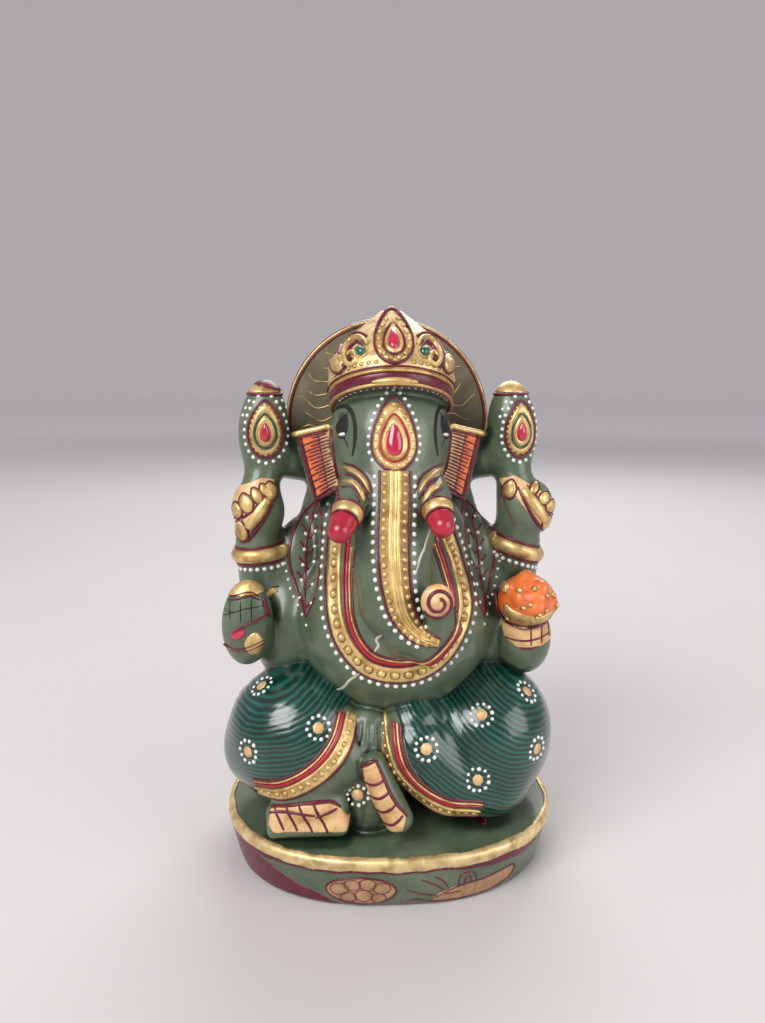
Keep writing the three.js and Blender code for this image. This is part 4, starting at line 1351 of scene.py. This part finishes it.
toes = Piece("toe_gilding", "peach", *pair("toes"))
toes.coat(within([(-32.4, 19.6), (-31.8, 23.2), (-24.2, 25.4), (-16.8, 25.6), (-14, 24.2), (-11.4, 20.6),
                  (-12.4, 18.2), (-31, 17.8)], -26), (-36, -40, 14), (-8, -25, 28), 0.35)
toes.coat(within([(-8.4, 35.2), (-5, 37.2), (-3.3, 33.4), (-0.9, 28.2), (2.5, 23.4), (1.6, 20), (-2.2, 18.6),
                  (-4.8, 24), (-7.4, 29)], -31), (-12, -41, 15), (8, -27, 40), 0.35)
toes.done()
TOE_LINES = (
    [(-30.8, 23.8), (-28.4, 18.6)],
    [(-27.6, 24.6), (-24.9, 18.4)],
    [(-24.4, 25.2), (-21.1, 18.2)],
    [(-20.8, 25.6), (-17.2, 18.2)],
    [(-20.2, 22.4), (-15, 24)],
    [(-31.6, 23.4), (-24.2, 25.4), (-17, 25.8), (-14, 24.2)],
    [(-31.8, 22.4), (-26, 23.4), (-20.4, 23)],
    [(-7.8, 31.6), (-5.6, 31.6), (-3.2, 32.8)],
    [(-6.6, 28.2), (-4.2, 28.4), (-1.8, 30)],
    [(-5, 24.8), (-2.8, 25), (-0.4, 26.8)],
    [(-3, 21.4), (-0.8, 21.8), (1.4, 24)],
    [(-5, 37.2), (-3.3, 33.4), (-0.9, 28.2), (2.5, 23.4)],
    [(-8.2, 35.2), (-7.2, 29.2), (-4.6, 24)],
    [(-8.4, 35.4), (-7, 36.6), (-5, 37.2)],
)
for path in TOE_LINES:
    lines.line(SKIN, curve(path), 1.0, 0.6, taper=0.7)


def plinth_side(p):
    """How far inside the plinth's outline a point is."""
    x, y = p[0], p[1] - PLINTH["y"]
    r = plinth_share(x, y)
    return (1 - r) * np.hypot(x, y) / r


def ripple(p, size):
    return size * (np.sin(0.31 * p[0] + 0.2 * p[1]) + 0.6 * np.sin(0.83 * p[0] - 0.4 * p[1] + 1))


def rim_gilding(p):
    return np.maximum(11.2 + ripple(p, 0.25) - p[2], plinth_side(p) - 1.6 - ripple(p, 0.25))


def rim_lacquer(p):
    thick = 0.45 + 0.9 * np.exp(-(((p[0] - 30) / 9) ** 2)) + 0.5 * np.exp(-(((p[0] + 38) / 8) ** 2))
    return np.maximum(np.abs(p[2] - 11.3 - ripple(p, 0.25) + thick) - thick, -9.0 + plinth_side(p))


CORNER = area([(-47, 9), (-41, 10.4), (-36.4, 10), (-31.6, 8.2), (-26.4, 5.6), (-19, 3), (-14, 0.4),
               (-47, 0.4)])
block = [plinth_form()]
gilt_rim = Piece("plinth_rim_gilding", "flat_gold", "base_rim_band")
gilt_rim.coat(rim_gilding, (-48, -44, 9.5), (48, 33, 15), 0.4, forms=block)
gilt_rim.done()
foot_red = Piece("plinth_lacquer", "maroon")
foot_red.coat(rim_lacquer, (-48, -44, 8), (48, 33, 12.2), 0.22, forms=block, voxel=0.4)
foot_red.coat(lambda p: np.maximum(CORNER(p), p[1] - 6 + 1.3 * p[2]), (-48, -44, -0.5), (-10, 8, 11), 0.18,
              forms=block, voxel=0.4)
foot_red.done()

PLATE = disc(-9, 5.3, 8.8, 28, 4.1)
MOUSE = [(8, 1.3), (10.4, 3.4), (14, 4.9), (17.4, 5.3), (21.4, 5.5), (26, 6.3), (30.4, 6.6), (31.3, 5),
         (29.8, 2.6), (24, 1.2), (15, 0.8)]
# The plate and mouse are brownish gold paint, darkened further as painted shade on the plinth's front.
paint = Piece("plinth_paintings", "shaded_tan")
for shape in (PLATE, MOUSE):
    paint.coat(within(shape, -20), (-19, -44, 0.2), (33, -22, 11), 0.12, forms=block, voxel=0.3)
paint.done()
lines.line(SKIN, loop(PLATE, 0.4), 0.5, 0.3, closed=True)
for x, z, r in ((-14.4, 5.6, 2.3), (-11.2, 7.0, 2.1), (-7.4, 7.3, 2.2), (-3.8, 6.2, 2.2), (-12.2, 3.2, 2.0),
                (-8.4, 3.8, 2.3), (-4.6, 3.1, 1.9)):
    lines.line(SKIN, loop(disc(x, z, r, 16, r * 0.8), 0.4), 0.34, 0.22, closed=True)
MOUSE_LINES = (
    [(8, 1.3), (12.5, 3.9), (17.4, 5.3), (23.4, 5.7), (30.4, 6.6), (31.3, 5), (29.8, 2.6)],
    [(29.8, 2.6), (24, 1.2), (15, 0.8), (8, 1.3)],
    [(15.6, 4.6), (16.2, 8.4), (19.4, 8.6), (20.6, 5.4)],
    [(17, 5), (17.6, 7.4), (18.8, 7.2), (19, 5.2)],
    [(6, 8.4), (9.6, 6.4), (12, 4.4)],
    [(9.4, 9), (11.6, 7.4), (13, 5)],
    [(2.4, 5.4), (6.6, 3.8), (10, 3)],
    [(12, 3.2), (16.4, 3.3)],
    [(1, 1.4), (4.6, 2.2), (8, 1.5)],
)
for path in MOUSE_LINES:
    lines.line(SKIN, curve(path), 0.42, 0.26, taper=0.6)
lines.line(SKIN, curve([(21.0, -19.6, 14), (23.4, -22.0, 14), (24.4, -25.4, 14)]), 2.6, 0.25, taper=0.35)

# ---- Halo, eyes, chest and seat ----

RAYS = (4, 15, 26, 37, 48, 60, 120, 130, 139, 148, 157, 166, 176, 185)
halo = Piece("halo_gilding", "gold")
for y in (8.4, 13.4):
    q = np.radians(np.arange(-28, 208.1, 1.5))
    for r, piece, width in ((28.5, halo, 0.55), (27.7, lines, 0.6)):
        piece.line(SKIN, xyz(HALO["x"] + r * np.cos(q), y, HALO["z"] + r * np.sin(q)), width, 0.3)
    for i, a in enumerate(np.radians(RAYS)):
        r = np.linspace(15.5, 23.5 + 2.5 * (i % 2), 14)
        swing = 1.1 * np.sin((r - 15.5) * 0.62 + i)
        x = HALO["x"] + r * math.cos(a) - swing * math.sin(a)
        z = HALO["z"] + r * math.sin(a) + swing * math.cos(a)
        halo.line(SKIN, xyz(x, y, z), 0.45, 0.18, taper=0.4)
halo.done()

# Eyes: each line's points are (towards the ear, up) from the middle of the eye.
EYES = ((-1, (-12.7, 119.2)), (1, (13.7, 118.9)))
EYE_ARCH = ((2.2, 3.6), (0.6, 4.9), (-1.2, 5.2), (-2.5, 3.9), (-3.1, 1.8), (-3.3, -0.6), (-3.1, -3.4),
             (-2.5, -6.6))
LOWER_LID = ((1.0, -2.2), (0.2, -2.6), (-0.8, -2.1))
UNDER_EYE = ((1.0, -1.2), (-0.6, -2.7), (-1.5, -4.6))


def lash(i):
    return ((0.55 * i - 1.6, 4.2 - 0.15 * i), (0.5 * i - 1.3, 2.9), (0.35 * i - 0.9, 1.5))


for s, (x, z) in EYES:
    ink.plaque(SKIN, (x, z), drop(x, z, 1.5, 3.5, 2.0, s * 18, 18), [(1, 0.06), (0.6, 0.12)])
    # a small white glint below each pupil: painted highlight
    dots.plaque(SKIN, (x, z - 1.5), drop(x, z - 1.5, 0.9, 0.35, 0.45, s * -16, 12), [(1, 0.1), (0.6, 0.2)])
    for path, step, width, height, taper in (
        (EYE_ARCH, 0.5, 1.15, 0.14, 0.4),
        (LOWER_LID, 0.4, 0.45, 0.12, 0.5),
        *((lash(i), 0.4, 0.38, 0.1, 0.4) for i in range(5)),
        (UNDER_EYE, 0.4, 0.42, 0.1, 0.4),
    ):
        path = [(x + s * out, z + up) for out, up in path]
        ink.line(SKIN, curve(path, step), width, height, taper=taper)

veins = Piece("cream_veins_in_stone", "cream")
veins.strokes(SKIN, 0.1, (
    (0.75, [(8.5, 95.0), (7.2, 92.2), (6.8, 91), (5.6, 89.2), (4.6, 86)]),
    (0.7, [(-3.6, 70.6), (-4.8, 68.4), (-4.2, 67), (-5.4, 65)]),
    (0.7, [(-8.6, 59.2), (-11.3, 56.3), (-12.2, 54.6), (-13.4, 52.6), (-15.6, 50.8), (-18, 50.6)]),
), taper=0.4, step=0.4)
veins.done()

LEAF = (
    (0.8, 0.22, [(22.4, 70), (23.0, 78), (22.6, 88), (19.4, 98.6)]),
    (0.85, 0.24, [(22.4, 70), (25.6, 76), (27.4, 84), (25.2, 92), (19.4, 98.6)]),
    (0.85, 0.24, [(22.4, 70), (20, 76), (18.6, 84), (18.2, 92), (19.4, 98.6)]),
)


def on_chest(s, path):
    """A path on the right of the chest, or its mirror image on the left."""
    return [(s * x + (1.6 if s > 0 else 0.0), z) for x, z in path]


for s in (-1, 1):
    for width, height, path in LEAF:
        lines.line(SKIN, curve(on_chest(s, path)), width, height)
    for i in range(6):
        z = 73.5 + 4 * i
        root = (22.7 - 0.25 * i, z - 1.5)
        for tip in ((25.8 - 0.45 * i, z + 2.2), (19.8 - 0.1 * i, z + 2.2)):
            lines.line(SKIN, curve(on_chest(s, [root, tip])), 0.6, 0.18)
        dots.beads(SKIN, on_chest(s, [(24.3 - 0.35 * i, z - 0.2), (21.0 - 0.2 * i, z + 0.4)]), 0.55)
    dots.beads(SKIN, even(curve(on_chest(s, [(22.4, 68), (26.8, 75), (29, 84)])), 2.3), 0.45)

seat = Piece("seat_side_lacquer", "maroon")
roll = arm(BOLSTER)[0]
q = np.radians(np.arange(-60, 241, 17))
for s in (-1, 1):
    x0, x1 = sorted((s * 33, s * 49))
    seat.coat(lambda p: np.maximum(roll(p) - 0.5, 36 - s * p[0]), (x0, -8, 16), (x1, 18, 50), 0.25)
    for r, x in ((10.2, 36.5), (5.6, 43)):
        spots = SKIN.settle(xyz(s * x, 5 + r * np.cos(q), 33 + r * np.sin(q)))[0]
        spots = spots[roll(spots.T) < 0.8]
        if len(spots):
            dots.beads(SKIN, spots, 0.6)
seat.done()
finish(dots, lines, ink, shades)


# ---- Stage, light and camera ----


def stage():
    turns = np.linspace(0, 2 * math.pi, 64, endpoint=False)
    points = [(4000 * math.cos(q), 4000 * math.sin(q), 0) for q in turns]
    floor = mesh_object("floor", points, [tuple(range(64))], None, smooth=False)
    f = Finish("pale_floor")
    # painted light: the floor is lighter further from the middle, making up for the lamps' light falling off
    # with distance
    far = f.node("VectorMath", operation="LENGTH")
    f.link(f.coords, far.inputs[0])
    away = f.level(far.outputs["Value"], 0.0, 1.0, 0.45, 1.7)
    near = f.ramp(f.noise(3), [(0.3, (0.53, 0.51, 0.5)), (0.7, (0.57, 0.55, 0.54))])
    f.colour(f.mix(away, near, (0.97, 0.96, 0.97)))
    f.set(Roughness=0.9, Specular_IOR_Level=0.1)
    floor.data.materials.append(f.m)
    world = bpy.data.worlds.new("studio")
    world.use_nodes = True
    world.node_tree.nodes["Background"].inputs["Color"].default_value = (0.93, 0.87, 0.91, 1)
    world.node_tree.nodes["Background"].inputs["Strength"].default_value = 0.45
    bpy.context.scene.world = world
    bpy.context.scene.view_settings.view_transform = "Standard"
    for name, at, size, power in (
        ("key", (-420, -520, 620), 0.5, 6.5),
        ("fill", (560, -420, 320), 0.5, 2.2),
        ("back", (120, 520, 640), 0.6, 4.5),
    ):
        lamp = bpy.data.lights.new(name, "AREA")
        lamp.size = size
        lamp.energy = power
        obj = bpy.data.objects.new(name, lamp)
        obj.location = Vector(at) * MM
        aim = Vector((0, 0, 75)) * MM - obj.location
        obj.rotation_euler = aim.to_track_quat("-Z", "Y").to_euler()
        bpy.context.scene.collection.objects.link(obj)


def camera():
    eye = bpy.data.cameras.new("camera")
    eye.lens = 28.15
    eye.sensor_width = 36.0
    eye.clip_start = 0.01
    obj = bpy.data.objects.new("camera", eye)
    obj.location = Vector((-13.1, -219.7, 133.4)) * MM
    obj.rotation_euler = (math.radians(80), 0, math.radians(-3))
    bpy.context.scene.collection.objects.link(obj)
    bpy.context.scene.camera = obj


stage()
camera()
